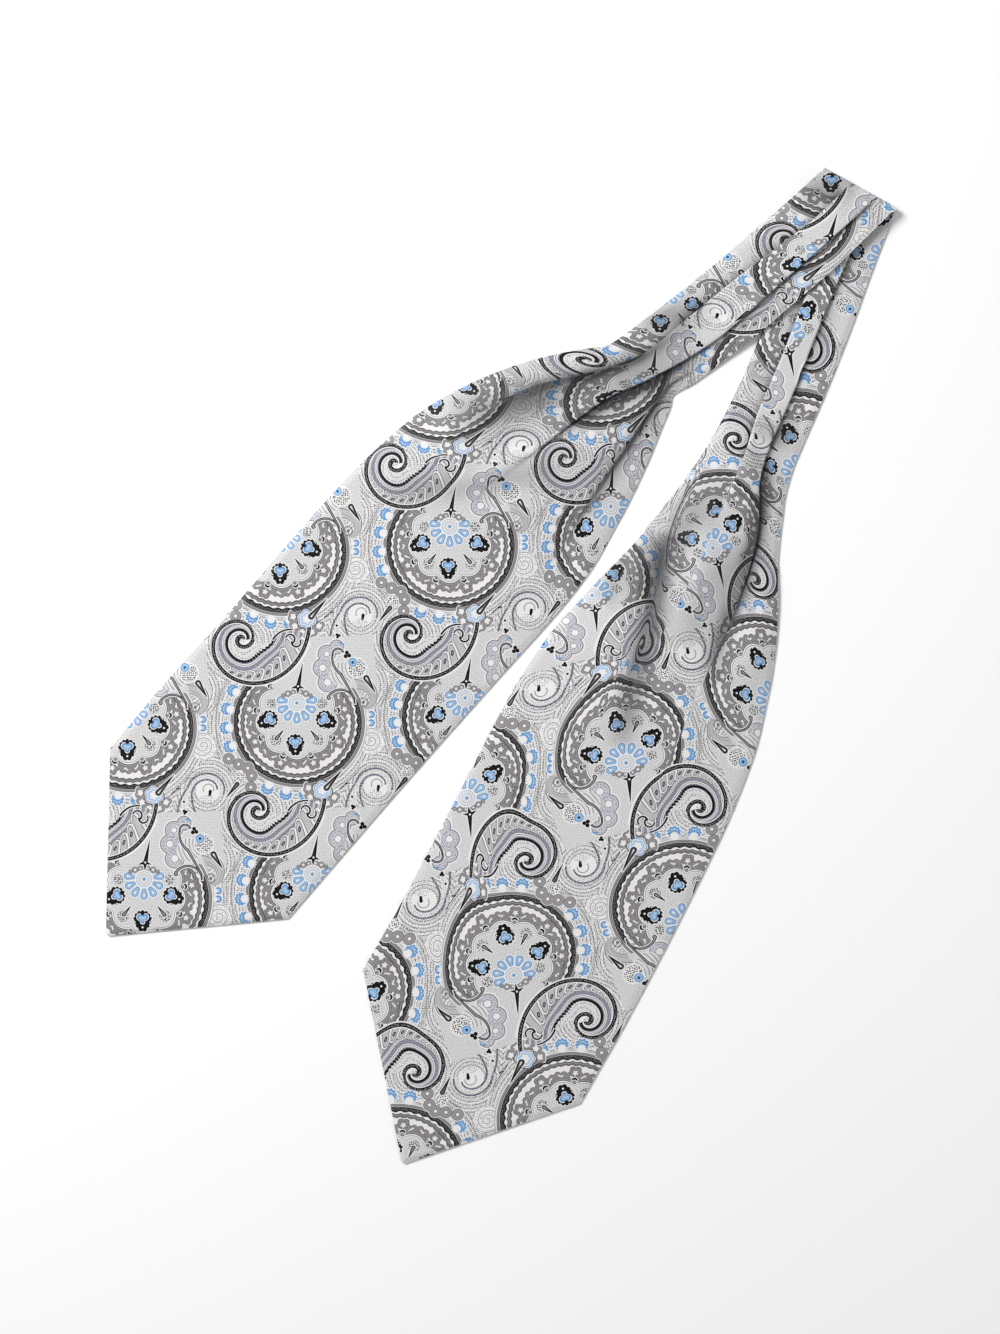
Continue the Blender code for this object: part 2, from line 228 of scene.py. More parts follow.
# Stations run in millimetres from the fold to a limb's point, across runs to the left of that.
leftLimb = {
    "angle": -100.25,
    "point": (637.0, 0.0),
    "columns": (16, 10, 28, 10),
    "lowerEdge": {
        "station": (4, 40, 80, 120, 150, 173, 184, 200, 225, 255, 290, 330, 390, 440, 510, 540, 556),
        "across": (-23.6, -25.2, -27.8, -31.8, -35.5, -39.4, -47.0, -58.0, -71.8, -83.6, -91.6,
                   -93.5, -90.4, -86.5, -82.5, -80.2, -78.0)},
    "upperEdge": {
        "station": (4, 40, 80, 106, 130, 154, 167, 173, 184, 205, 240, 275, 310, 360, 440, 552),
        "across": (23.6, 23.4, 20.8, 18.9, 16.0, 12.6, 9.4, 12.8, 17.4, 26.4, 38.8, 48.6, 53.0, 55.8,
                   60.8, 69.4)},
    "pleats": (
        {"climbs": True,
         "station": (4, 28, 60, 96, 126, 158, 179, 201, 222, 260),
         "across": (-6.1, -6.4, -10.0, -14.6, -17.5, -20.3, -27.9, -40.5, -53.1, -66.0),
         "turn": {"station": (4, 15, 168, 190, 222, 262), "degrees": (3, 180, 180, 150, 60, 2)},
         "tuck": {"station": (14, 28, 140, 172), "depth": (0, 5.0, 5.0, 0)}},
        {"climbs": False,
         "station": (4, 37, 76, 119, 144, 172, 199, 222, 245, 290),
         "across": (11.4, 9.7, 7.3, 5.0, 0.4, -7.5, -17.0, -20.5, -23.8, -31.0),
         "turn": {"station": (4, 15, 196, 216, 250, 292), "degrees": (3, 180, 180, 120, 50, 2)},
         "tuck": {"station": (14, 28, 170, 200), "depth": (0, 5.0, 5.0, 0)}},
        {"climbs": False,
         "station": (4, 60, 120, 150, 166, 186, 205, 226, 250, 290),
         "across": (18.0, 16.6, 11.6, 6.8, 3.6, 6.6, 11.0, 15.0, 20.0, 29.5),
         "turn": {"station": (4, 140, 178, 212, 250, 292), "degrees": (2, 2, 172, 150, 62, 2)},
         "tuck": {"station": (4, 600), "depth": (0, 0)}}),
    "lift": {
        "station": (4, 12, 20, 40, 60, 80, 104, 130, 160),
        "lower": (1.0, 0.93, 0.80, 0.47, 0.20, 0.08, 0, 0, 0),
        "upper": (1.0, 1.08, 1.18, 1.23, 1.10, 0.83, 0.58, 0.20, 0)},
    "puff": {
        "station": (4, 120, 160, 190, 225, 270, 330, 400, 470, 560),
        "height": (0, 0, 1.2, 4.2, 6.0, 5.0, 2.6, 1.2, 0.8, 0)},
    "creases": (                     # troughs, and ridges where the depth is below zero
        furrow(2.2, 6.0, (186, -22), (206, -31), (232, -40), (262, -56)),
        furrow(1.0, 6.0, (228, -24), (262, -37), (300, -50)),
        furrow(1.8, 8.0, (250, 19), (272, 27), (292, 33)),
        furrow(-1.4, 6.0, (176, -33), (204, -47), (240, -62)),
        furrow(-1.4, 11.0, (196, -4), (240, -4), (300, -8))),
    "fineCreases": (
        furrow(1.7, 3.2, (160, -17), (180, -24), (200, -36), (220, -49), (238, -59)),
        furrow(0.8, 3.0, (164, 6), (190, 9), (216, 13), (243, 17)),
        furrow(0.9, 3.0, (216, -20), (236, -24.5), (256, -28)),
        furrow(0.6, 7.0, (232, -30), (256, -46), (292, -66)),
        furrow(0.5, 5.0, (200, -20), (238, -35), (286, -46)),
        furrow(0.5, 7.0, (230, 48), (262, 42), (300, 30)),
        furrow(0.4, 14.0, (262, -8), (330, 2), (400, 0)),
        furrow(0.35, 18.0, (330, -54), (410, -38), (490, -32)),
        furrow(0.3, 16.0, (380, 34), (450, 24), (530, 26)),
        furrow(0.35, 3.0, (100, -24), (135, -27), (168, -33)),
        furrow(0.3, 4.0, (60, -1), (100, -3), (140, -8))),
    "shades": (                      # painted shade: how far light is kept from the cloth in its tucks, 0 to 1
        furrow(0.6, 5.0, (128, -15), (150, -18), (166, -21), (182, -28), (200, -38), (218, -50),
               (246, -64), strips=(1, 2, 3)),
        furrow(0.6, 5.5, (146, 2), (178, -8), (201, -16), (218, -20), (236, -24), strips=(2, 3)),
        furrow(0.4, 17.0, (132, 1), (160, -10), (190, -22), (226, -46), (280, -72)),
        furrow(0.3, 11.0, (215, -39), (241, -56), (270, -77)),
        furrow(0.32, 9.0, (226, -4), (248, -10), (272, -22), (303, -46), (331, -71)),
        furrow(0.4, 5.0, (164, 9), (174, 8), (197, 11), (216, 14), (231, 17), (259, 23)),
        furrow(0.4, 7.0, (152, -38), (131, -23), (112, -12)),
        furrow(0.42, 10.0, (24, -28), (14, -16), (4, 0))),
    "print": {                       # the cloth's own axes: along the grain and across it
        "heart": (454.7, -50.8), "sign": 1,
        "along": (0.9975, 0.0706), "across": (-0.0706, 0.9975)},
    "slip": {                        # how far hidden cloth shifts each strip's print from the blade's
        "station": (4, 42, 58, 84, 110, 150, 178, 205, 239, 300),
        "across0": (-97, -92, -89, -85, -80, -72, -56, -33, -11, 0),
        "across1": (-67, -63, -60.5, -52, -43.5, -36, -36, -24.5, -10, 0),
        "across2": (-28, -21, -18, -13, -8, 0, 2, 3, -1, 0),
        "across3": (-28, -21, -18, -13, -8, 2, 11, 13, 9.5, 0),
        "along0": (-27, -25, -24, -20, -19, -16.5, -18, -17, -7, 0),
        "along1": (-5, -7.5, -7, -6.5, -5, 1.5, 4, -0.5, -1, 0),
        "along2": (0, -1, -1, 0, 1, 2, 2, 1, 0, 0),
        "along3": (0, -1, -1, 0, 1, 2, 3, 4, 4, 0)}}

rightLimb = {
    "angle": -80.27,
    "point": (646.6, 1.5),
    "columns": (30, 12, 22),
    "lowerEdge": {
        "station": (4, 50, 105, 140, 165, 200, 225, 250, 290, 325, 365, 420, 520, 551),
        "across": (-24.5, -21.5, -16.6, -15.2, -15.8, -20.0, -25.4, -31.6, -45.0, -55.0, -60.2, -62.4,
                   -66.8, -69.6)},
    "upperEdge": {
        "station": (4, 40, 80, 120, 165, 182, 200, 225, 250, 270, 300, 340, 385, 440, 520, 568),
        "across": (24.9, 27.4, 31.0, 33.5, 35.0, 37.2, 42.6, 51.6, 63.4, 71.4, 80.2, 88.0, 90.4, 89.5,
                   86.0, 82.2)},
    "pleats": (
        {"climbs": True,
         "station": (4, 76, 111, 148, 178, 220, 260),
         "across": (-4.4, -2.4, 0.0, 1.4, 5.0, 7.0, 8.0),
         "turn": {"station": (4, 15, 146, 166, 190, 232), "degrees": (3, 180, 180, 135, 50, 2)},
         "tuck": {"station": (14, 28, 120, 148), "depth": (0, 4.6, 4.6, 0)}},
        {"climbs": False,
         "station": (4, 50, 91, 129, 167, 185, 201, 217, 238, 275),
         "across": (10.6, 11.8, 13.8, 16.3, 17.6, 20.8, 28.1, 34.1, 38.2, 42.0),
         "turn": {"station": (4, 15, 196, 226, 256, 296), "degrees": (3, 180, 180, 130, 60, 2)},
         "tuck": {"station": (14, 28, 150, 186), "depth": (0, 4.6, 4.6, 0)}}),
    "lift": {"station": (4, 600), "lower": (0, 0), "upper": (0, 0)},
    "puff": {
        "station": (4, 130, 170, 205, 240, 285, 340, 400, 470, 560),
        "height": (0, 0, 1.4, 4.4, 6.6, 6.6, 4.0, 1.8, 0.8, 0)},
    "creases": (
        furrow(3.4, 7.0, (222, 31), (256, 36), (286, 42), (312, 49)),
        furrow(3.2, 6.5, (238, -15), (276, -6), (312, 1), (345, 5)),
        furrow(1.2, 6.0, (258, -36), (290, -28)),
        furrow(-1.6, 9.0, (225, 52), (262, 58), (305, 66)),
        furrow(-1.4, 10.0, (205, 6), (250, 12), (300, 24))),
    "fineCreases": (
        furrow(1.6, 3.2, (170, 14), (190, 20), (214, 30), (240, 35), (266, 38), (300, 43)),
        furrow(1.0, 2.6, (238, -15), (276, -6), (312, 1), (345, 5)),
        furrow(0.6, 3.0, (204, 6), (221, 10), (234, 12)),
        furrow(0.8, 2.8, (192, 25), (214, 34), (238, 38)),
        furrow(0.5, 4.5, (250, -33), (272, -31), (296, -24)),
        furrow(0.5, 7.0, (226, -6), (262, 4), (300, 12)),
        furrow(0.4, 12.0, (300, 58), (350, 62), (410, 58)),
        furrow(0.4, 15.0, (340, 14), (400, 8), (470, 6)),
        furrow(0.3, 17.0, (370, -36), (450, -26), (530, -30)),
        furrow(0.3, 16.0, (440, 44), (500, 40), (560, 36)),
        furrow(0.3, 3.5, (70, 20), (110, 23), (150, 26)),
        furrow(0.3, 4.0, (60, -14), (104, -9), (150, -6))),
    "shades": (
        furrow(0.72, 5.5, (172, 3), (177, 21), (206, 30), (248, 39), (280, 41), (309, 49)),
        furrow(0.7, 7.5, (236, -17), (252, -12), (281, -3), (318, 4), (366, 12)),
        furrow(0.45, 14.0, (190, 2), (220, -7), (250, -18), (292, -32)),
        furrow(0.24, 11.0, (226, 28), (259, 18), (298, 20)),
        furrow(0.4, 8.0, (148, 30), (156, 16), (160, 2))),
    "print": {
        "heart": (361.9, 37.2), "sign": -1,
        "along": (0.973, 0.021), "across": (0.048, 0.967)},
    "slip": {
        "station": (4, 32, 67, 97, 150, 170, 190, 232, 290, 330, 375),
        "across0": (14, 12, 11, 9.7, 8, 7, 6, 9, 2.7, 0, 0),
        "across1": (46, 43, 38, 34.5, 27, 25, 20.5, 14.3, 3.5, 1, 0),
        "across2": (76, 76, 73, 68.5, 64, 63, 54, 36, 17, 7, 0),
        "along0": (-14, -13, -12, -11, -8, -6, -4, -2, 1, 1, 0),
        "along1": (-13, -13, -15, -15.5, -11.5, -9.5, -8, -5.5, -1, 0, 0),
        "along2": (-13, -18, -13, -11.5, -14, -13, -10.5, -6, -1, 0, 0)},
    "hidden": {                      # cloth lost in the soft crease on the inner side,
                                     # and the stretch of the blade beyond it
        "station": (180, 205, 232, 290, 335, 375, 430, 500, 560, 630),
        "line": (-14, -16, -15, -4, -6, -22, -28, -29, -29, -29),
        "across": (0, -12, -17, -14, -8, -3, -2, -2, -1, 0),
        "along": (0, 2, 5, 9, 12, 12, 12, 12, 8, 4),
        "width": (3, 3, 3, 4, 7, 14, 14, 14, 14, 14)}}

backFolds = {                        # low troughs of the two back panels
    "leftBack": {
        "creases": (
            furrow(0.14, 4.0, (190, -30), (226, -44), (262, -58)),
            furrow(0.14, 5.0, (214, 6), (262, 18), (310, 26)),
            furrow(0.1, 9.0, (330, -40), (410, -24), (500, -10))),
        "slip": {"station": (4, 600), "across0": (31, 31), "along0": (17, 17)}},
    "rightBack": {
        "creases": (
            furrow(0.14, 5.0, (215, 20), (262, 34), (318, 50)),
            furrow(0.14, 4.0, (236, -18), (280, -8), (330, 2)),
            furrow(0.1, 9.0, (350, 30), (430, 22), (520, 12))),
        "slip": {"station": (4, 600), "across0": (-24, -24), "along0": (35, 35)}}}


def pointedEnd(limb, step, station, across, height, low, rise):
    # rows on to the corners, last + (corner line - last) w, then rows that close on the point,
    # corner line + (point - corner line) c
    corners = np.array([(limb[edge]["station"][-1], limb[edge]["across"][-1])
                        for edge in ("lowerEdge", "upperEdge")], float)
    share = ((across[-1] - across[-1, 0]) / (across[-1, -1] - across[-1, 0]))[:, None]
    line = corners[0] + (corners[1] - corners[0]) * share
    point = np.array(limb["point"])
    w = np.linspace(0, 1, 1 + int((corners[:, 0].mean() - station[-1, 0]) / step))[1:, None]
    c = np.linspace(0, 1 - cloth["tipShare"],
                    1 + int(np.linalg.norm(point - corners.mean(0)) / step))[1:, None]
    crown = rise * np.sin(math.pi * share[:, 0])
    rows = [(station, across, height),
            (station[-1] + (line[:, 0] - station[-1]) * w,
             across[-1] + (line[:, 1] - across[-1]) * w,
             height[-1] + (low + crown - height[-1]) * w),
            (line[:, 0] + (point[0] - line[:, 0]) * c,
             line[:, 1] + (point[1] - line[:, 1]) * c,
             low + crown * (1 - c))]
    return (np.concatenate(part) for part in zip(*rows))


def turnRows(first, radius, downwards):
    # a half turn round the fold: out = r cos q and height = R + r sin q, from a line that lies R
    # behind the fold's edge
    left, right = np.array(cloth["foldLeft"]), np.array(cloth["foldRight"])
    edge = (right - left) / np.linalg.norm(right - left)
    outward = np.array((-edge[1], edge[0]))
    q = np.linspace(-math.pi / 2, math.pi / 2, cloth["turnSteps"] + 1)[:-1, None, None]
    if downwards:
        q = -q
    span = first @ edge
    share = (span - span[0]) / (span[-1] - span[0])
    line = np.array(foldMiddle) + left + (right - left) * share[:, None] - turnRadius * outward
    plan = line + radius * np.cos(q) * outward
    height = turnRadius + radius * np.sin(q) + np.zeros_like(plan[..., :1])
    return np.concatenate((plan, height), -1)


def printPlace(limb, slip, station, across, strips):
    # (V, U) = lay (s, t) + the strip's slip, then P = V g + U n, with g along the grain and n across
    # it, both counted from the heart of a rosette
    lay = limb["print"]
    v = lay["along"][0] * station + lay["along"][1] * across
    u = lay["across"][0] * station + lay["across"][1] * across
    for index in range(strips.max() + 1):
        own = strips == index
        v[:, own] += readTable(slip, "along%d" % index, station[:, own])
        u[:, own] += readTable(slip, "across%d" % index, station[:, own])
    if "hidden" in limb:
        tuck = limb["hidden"]
        line = readTable(tuck, "line", station)
        width = readTable(tuck, "width", station)
        below = 1 - smoothStep(across, line - width, line + width)
        v += readTable(tuck, "along", station) * below
        u += readTable(tuck, "across", station) * below
    v = (v - lay["heart"][0]) * lay["sign"]
    u = (u - lay["heart"][1]) * lay["sign"]
    g = printLay["grainAngle"]
    return np.stack((v * math.cos(g) - u * math.sin(g), v * math.sin(g) + u * math.cos(g)), -1)


def tuckShade(limb, station, across, strips):
    # the painted shade: the sum of depth exp(-(d / width)^2) over the furrows of shade that reach a
    # strip, and beside each pleat's lip lee exp(-d / reach) turn / pi on the strip under it, held to
    # the deepest
    shade = np.zeros(across.shape)
    for dark in limb["shades"]:
        reached = np.isin(strips, dark["strips"] or strips)
        shade -= creaseHeight((dark,), station, across) * reached
    for index, pleat in enumerate(limb["pleats"]):
        turn = readTable(pleat["turn"], "degrees", station) / 180
        away = np.abs(across - readTable(pleat, "across", station))
        under = strips == (index if pleat["climbs"] else index + 1)
        shade += cloth["leeShade"] * np.exp(-away / cloth["leeReach"]) * turn * under
    return np.clip(shade, 0, cloth["deepestShade"])


def placed(name, data):
    # a new object of the data, at the origin
    thing = bpy.data.objects.new(name, data)
    bpy.context.scene.collection.objects.link(thing)
    return thing


def shell(name, upper, lower, place, shade):
    # a closed shell round two grids of points, row by row the upper one and the lower one backwards,
    # with the print's place on both as its UV map, and its painted shade as a point attribute
    count, points, _ = upper.shape
    size = 2 * points
    ring = np.concatenate((upper, lower[:, ::-1]), 1).reshape(-1, 3)
    uv = np.concatenate((place, place[:, ::-1]), 1).reshape(-1, 2)
    i, j = np.meshgrid(np.arange(count - 1), np.arange(size), indexing="ij")
    a, b = i * size + j, i * size + (j + 1) % size
    walls = np.stack((a, a + size, b + size, b), -1).reshape(-1, 4)
    j = np.arange(points - 1)
    first = np.stack((j, j + 1, size - 2 - j, size - 1 - j), -1)
    last = np.stack((j + 1, j, size - 1 - j, size - 2 - j), -1) + (count - 1) * size
    faces = np.concatenate((walls, first, last)).astype(np.int32)
    mesh = bpy.data.meshes.new(name)
    mesh.vertices.add(len(ring))
    mesh.vertices.foreach_set("co", (ring * mm).astype(np.float32).ravel())
    mesh.loops.add(faces.size)
    mesh.loops.foreach_set("vertex_index", faces.ravel())
    mesh.polygons.add(len(faces))
    mesh.polygons.foreach_set("loop_start", np.arange(0, faces.size, 4, dtype=np.int32))
    mesh.update(calc_edges=True)
    layer = mesh.uv_layers.new(name="cloth")
    layer.uv.foreach_set("vector", (uv[faces.ravel()] * mm).astype(np.float32).ravel())
    dark = np.concatenate((shade, shade[:, ::-1]), 1).astype(np.float32)
    mesh.attributes.new("shade", "FLOAT", "POINT").data.foreach_set("value", dark.ravel())
    mesh.validate()
    mesh.shade_smooth()
    mesh.set_sharp_from_angle(angle=math.radians(cloth["sharpAngle"]))
    piece = placed(name, mesh)
    print(name, 2 * len(faces), "triangles")
    return piece


def frontPanel(name, limb, downwards):
    # the front panel's middle line swept along its limb, z = level + lift + puff - creases + pleats,
    # led round the fold, and given its thickness square to the section
    s = stationRows(cloth["rowStep"])
    (across, pleat, heading, cut), strips = frontSection(limb, s)
    station = np.repeat(s[:, None], across.shape[1], 1)
    share = np.clip((across - across[:, :1]) / (across[:, -1:] - across[:, :1]), 0, 1)
    puff = readTable(limb["puff"], "height", s)[:, None] * np.sin(math.pi * share)
    standOff = np.maximum(puff + creaseHeight(limb["creases"], station, across), 0)
    level = cloth["pitch"] + cloth["layer"] / 2
    height = level + liftOffFloor(limb, s, share) + standOff + pleat
    station, across, height = pointedEnd(limb, cloth["rowStep"], station, across, height, level,
                                         cloth["crown"])
    spare = len(height) - len(s)
    cut = np.concatenate((cut, across[-spare:]))
    heading = np.concatenate((heading, np.zeros((spare, cut.shape[1]))))
    away = smoothStep(station, cloth["firstStation"], cloth["foldSettles"] / 3)
    height += creaseHeight(limb["fineCreases"], station, across) * away
    steps = np.hypot(np.diff(station, axis=1), np.diff(across, axis=1))
    run = np.concatenate((np.zeros((len(steps), 1)), np.cumsum(steps, 1)), 1)
    fromEdge = np.minimum(run, run[:, -1:] - run)
    height -= cloth["edgeDrop"] * (1 - smoothStep(fromEdge, 0, cloth["edgeRoll"])) * away
    radius = turnRadius - cloth["layer"] / 2 - (cloth["pitch"] if downwards else 0)
    sides = []
    for half in (cloth["thickness"] / 2, -cloth["thickness"] / 2):
        t = across - half * np.sin(heading)
        x, y = toPart(limb, slanted(limb, station, t), t)
        flat = np.stack((x, y, height + half * np.cos(heading)), -1)
        turned = turnRows(flat[0, :, :2], radius + (-half if downwards else half), downwards)
        sides.append(np.concatenate((turned, flat)))
    # the painted shade of its creases and pleat lips, carried on over the turn round the fold
    shade = tuckShade(limb, station, across, strips)
    count = cloth["turnSteps"]
    shade = np.concatenate((np.repeat(shade[:1], count, 0), shade))
    bendRun = radius * math.pi * np.arange(-count, 0)[:, None] / count
    station = slanted(limb, station, across)
    station = np.concatenate((station[:1] + bendRun, station))
    cut = np.concatenate((np.repeat(cut[:1], count, 0), cut))
    return shell(name, *sides, printPlace(limb, limb["slip"], station, cut, strips), shade)


def backPanel(name, limb):
    # the flat back panel: z = lift +- half its thickness, its underside hollowed by its creases
    s = stationRows(cloth["backStep"])
    share = np.linspace(0, 1, cloth["backColumns"] + 1)
    low, high = (readTable(limb[edge], "across", s)[:, None] for edge in ("lowerEdge", "upperEdge"))
    across = low + (high - low) * share
    station = np.repeat(s[:, None], across.shape[1], 1)
    level = cloth["backGap"] + cloth["backThickness"] / 2
    height = level + liftOffFloor(limb, s, share)
    station, across, height = pointedEnd(limb, cloth["backStep"], station, across, height, level, 0.0)
    trough = creaseHeight(backFolds[name]["creases"], station, across)
    sides = []
    x, y = toPart(limb, slanted(limb, station, across), across)
    for half in (cloth["backThickness"] / 2, -cloth["backThickness"] / 2):
        sides.append(np.stack((x, y, height + half - trough * (half < 0)), -1))
    strips = np.zeros(across.shape[1], int)
    station = slanted(limb, station, across)
    place = printPlace(limb, backFolds[name]["slip"], station, across, strips)
    return shell(name, *sides, place, np.zeros(across.shape))


# The print is drawn in millimetres, x to the right and y up, from the heart of its rosette.
printLay = {
    "grainAngle": math.radians(228.8),       # from the neck to the left blade's point
    "repeatA": (100.8, 3.0),                 # from one rosette's heart to the next on its right
    "repeatB": (9.2, -102.6),                # and to the next below it
    "fineDots": 0.9,                         # spacing of the two sizes of dots
    "coarseDots": 1.25,
    "dotScatter": 0.55,                      # 0 for an even grid of dots, 1 for a wild one
    "echo": 2.1}                             # spacing of the dotted lines that follow the motifs

inks = {
    "ground": (0.655, 0.65, 0.655, 1),
    "white": (0.76, 0.75, 0.745, 1),
    "pale": (0.47, 0.465, 0.48, 1),
    "mist": (0.28, 0.27, 0.28, 1),
    "grey": (0.13, 0.122, 0.126, 1),
    "lilac": (0.31, 0.30, 0.37, 1),
    "smoke": (0.03, 0.027, 0.03, 1),
    "black": (0.004, 0.004, 0.005, 1),
    "blue": (0.11, 0.28, 0.53, 1),
    "sky": (0.36, 0.50, 0.68, 1),
    # tuck: the near-black that painted shade in the creases and beside the pleats draws the colour
    # towards
    "tuck": (0.02, 0.019, 0.022, 1)}

drawing = {"tree": None, "colour": inks["ground"]}      # the material's nodes, and its colour so far


class Field:
    # a value at each place of the cloth, whose sums and comparisons become Math nodes
    def __init__(self, socket):
        self.socket = socket

    def __add__(self, other):
        return mathNode("ADD", self, other)

    def __sub__(self, other):
        return mathNode("SUBTRACT", self, other)

    def __mul__(self, other):
        return mathNode("MULTIPLY", self, other)

    def __lt__(self, other):
        return mathNode("LESS_THAN", self, other)

    def __gt__(self, other):
        return mathNode("GREATER_THAN", self, other)

    def __and__(self, other):
        return mathNode("MINIMUM", self, other)

    def __or__(self, other):
        return mathNode("MAXIMUM", self, other)

    def __abs__(self):
        return mathNode("ABSOLUTE", self)


def newNode(kind):
    # a node of the material that is being drawn
    return drawing["tree"].nodes.new("ShaderNode" + kind)


def wire(value, socket):
    # joins a field to a socket, or sets the socket to a plain number
    if isinstance(value, Field):
        drawing["tree"].links.new(value.socket, socket)
    else:
        socket.default_value = value


def mathNode(operation, *values, clamp=False):
    # operation(values), and held to 0..1 if it is clamped
    node = newNode("Math")
    node.operation = operation
    node.use_clamp = clamp
    for value, socket in zip(values, node.inputs):
        wire(value, socket)
    return Field(node.outputs[0])


def vectorNode(operation, *values):
    # operation(vectors): a vector, or a number for a dot product, a distance or a length
    node = newNode("VectorMath")
    node.operation = operation
    for value, socket in zip(values, node.inputs):
        wire(value, socket)
    single = operation in ("DOT_PRODUCT", "DISTANCE", "LENGTH")
    return Field(node.outputs["Value" if single else "Vector"])


def paint(ink, mask):
    # the colour so far x (1 - mask) + ink x mask
    node = newNode("Mix")
    node.data_type = "RGBA"
    wire(mask, node.inputs[0])
    wire(drawing["colour"], node.inputs[6])
    wire(inks[ink], node.inputs[7])
    drawing["colour"] = Field(node.outputs[2])


def layered(value, layers, within=None):
    # one ink over another, each where the value lies below its edge
    for edge, ink in layers:
        mask = value < edge
        paint(ink, mask & within if within else mask)


def line(value, middle, width):
    # 1 where |value - middle| <= width / 2, else 0
    return mathNode("COMPARE", value, middle, width / 2)


def nearest(value, spacing):
    # distance to the nearest multiple of the spacing
    return mathNode("PINGPONG", value, spacing / 2)


def wave(angle, count, size, value, rounded=True):
    # value + size |sin(count angle / 2)|, or without the bars if it isn't rounded
    swing = mathNode("SINE", angle * (count / 2 if rounded else count))
    return mathNode("MULTIPLY_ADD", abs(swing) if rounded else swing, size, value)


def scaled(vector, value):
    # vector x value
    node = newNode("VectorMath")
    node.operation = "SCALE"
    wire(vector, node.inputs[0])
    wire(value, node.inputs[3])
    return Field(node.outputs[0])


def least(values):
    # the smallest of several values, place by place
    first, *others = values
    for other in others:
        first = first & other
    return first


def disc(place, x, y, radius=0.0):
    # |p - c| - R
    away = vectorNode("DISTANCE", place, (x, y, 0))
    return away - radius if radius else away


def discs(place, *circles):
    # the least of |p - c| - R, for circles given as (x, y) or (x, y, R)
    return least(disc(place, *circle) for circle in circles)


def parts(place, degrees=0.0):
    # how far a place lies along the direction given, and to the left of it
    c, s = math.cos(math.radians(degrees)), math.sin(math.radians(degrees))
    return vectorNode("DOT_PRODUCT", place, (c, s, 0)), vectorNode("DOT_PRODUCT", place, (-s, c, 0))


def turned(place, x, y, degrees):
    # the place as seen from (x, y) by someone who looks in the direction given
    return joined(*parts(vectorNode("SUBTRACT", place, (x, y, 0)), degrees))


def joined(x, y):
    # the place (x, y)
    node = newNode("CombineXYZ")
    wire(x, node.inputs[0])
    wire(y, node.inputs[1])
    return Field(node.outputs[0])


def bearing(place, x=0.0, y=0.0, degrees=0.0):
    # angle about (x, y), from the direction given
    if x or y:
        place = vectorNode("SUBTRACT", place, (x, y, 0))
    along, left = parts(place, degrees)
    return mathNode("ARCTAN2", left, along)


def fromPolar(r, angle):
    # x = r cos a, y = r sin a
    return joined(r * mathNode("COSINE", angle), r * mathNode("SINE", angle))


def nearestSpoke(angle, step):
    # the angle counted from the nearest of the spokes, which stand a step apart
    return mathNode("WRAP", angle, step / 2, -step / 2)


def stroke(place, start, end, startWidth, endWidth):
    # u = (p - a).(b - a) / |b - a|^2 held to 0..1, and |p - a - u (b - a)| - (w0 + (w1 - w0) u)
    (x0, y0), (x1, y1) = start, end
    dx, dy = x1 - x0, y1 - y0
    square = dx * dx + dy * dy
    own = vectorNode("SUBTRACT", place, (x0, y0, 0))
    u = vectorNode("DOT_PRODUCT", own, (dx / square, dy / square, 0))
    u = mathNode("ADD", u, 0.0, clamp=True)
    away = vectorNode("DISTANCE", own, scaled((dx, dy, 0), u))
    return mathNode("MULTIPLY_ADD", u, startWidth - endWidth, away) - startWidth


def arc(place, x, y, radius, first, last, startWidth, endWidth, growth=0.0):
    # | |p - c| - R - growth u | - (w0 + (w1 - w0) u), where u runs from 0 to 1 between the two
    # bearings, and no less than R times the angle beyond either of them
    span = math.radians(last - first)
    angle = bearing(place, x, y, (first + last) / 2)
    u = mathNode("MULTIPLY_ADD", angle, 1 / span, 0.5, clamp=True)
    away = disc(place, x, y) - radius
    if growth:
        away = mathNode("MULTIPLY_ADD", u, -growth, away)
    away = mathNode("MULTIPLY_ADD", u, startWidth - endWidth, abs(away)) - startWidth
    beyond = mathNode("MULTIPLY_ADD", abs(angle), radius, -span * radius / 2)
    return away | beyond


def strokes(place, *rows):
    # the least of several strokes
    return least(stroke(place, *row) for row in rows)


def arcs(place, *rows):
    # the least of several arcs
    return least(arc(place, *row) for row in rows)


def outlined(away, *inside):
    # a black motif with a thin white rim, and the inks that lie inside its edge
    layered(away, ((0.5, "white"), (0.0, "black"), *inside))


def around(repeat, x, y):
    # the place within the repeat whose middle is (x, y): w a + w' b + (x, y), where w is the share of
    # the repeat from that middle, wrapped to -1/2..1/2
    (ax, ay), (bx, by) = printLay["repeatA"], printLay["repeatB"]
    size = ax * by - ay * bx
    middle = ((x * by - y * bx) / size, (ax * y - ay * x) / size, 0)
    w = vectorNode("WRAP", vectorNode("SUBTRACT", repeat, middle), (0.5, 0.5, 0.5), (-0.5, -0.5, -0.5))
    place = joined(vectorNode("DOT_PRODUCT", w, (ax, bx, 0)), vectorNode("DOT_PRODUCT", w, (ay, by, 0)))
    return vectorNode("ADD", place, (x, y, 0))


def dotGrid(uv, spacing):
    # distance to the nearest of the points scattered about the cells of a grid, in cells
    node = newNode("TexVoronoi")
    node.voronoi_dimensions = "2D"
    node.inputs["Scale"].default_value = 1 / mm / spacing
    node.inputs["Randomness"].default_value = printLay["dotScatter"]
    wire(uv, node.inputs["Vector"])
    return Field(node.outputs["Distance"])


rings = {                            # the rosette's rings and lobes
    "heart": (0.46, -11.94),         # heart of the rings, which are a little wider than high
    "narrowing": 0.955,
    "dottedPast": 130.0,             # degrees either way from the right, past which its outer dots show
    "lobeHeart": (0.0, -8.7),        # heart of the lobes, and the direction of one cusp between them
    "cuspAt": 170.0,
    "lobes": 9,
    "flowerAt": 29.0}                # distance of the flowers from the lobes' heart


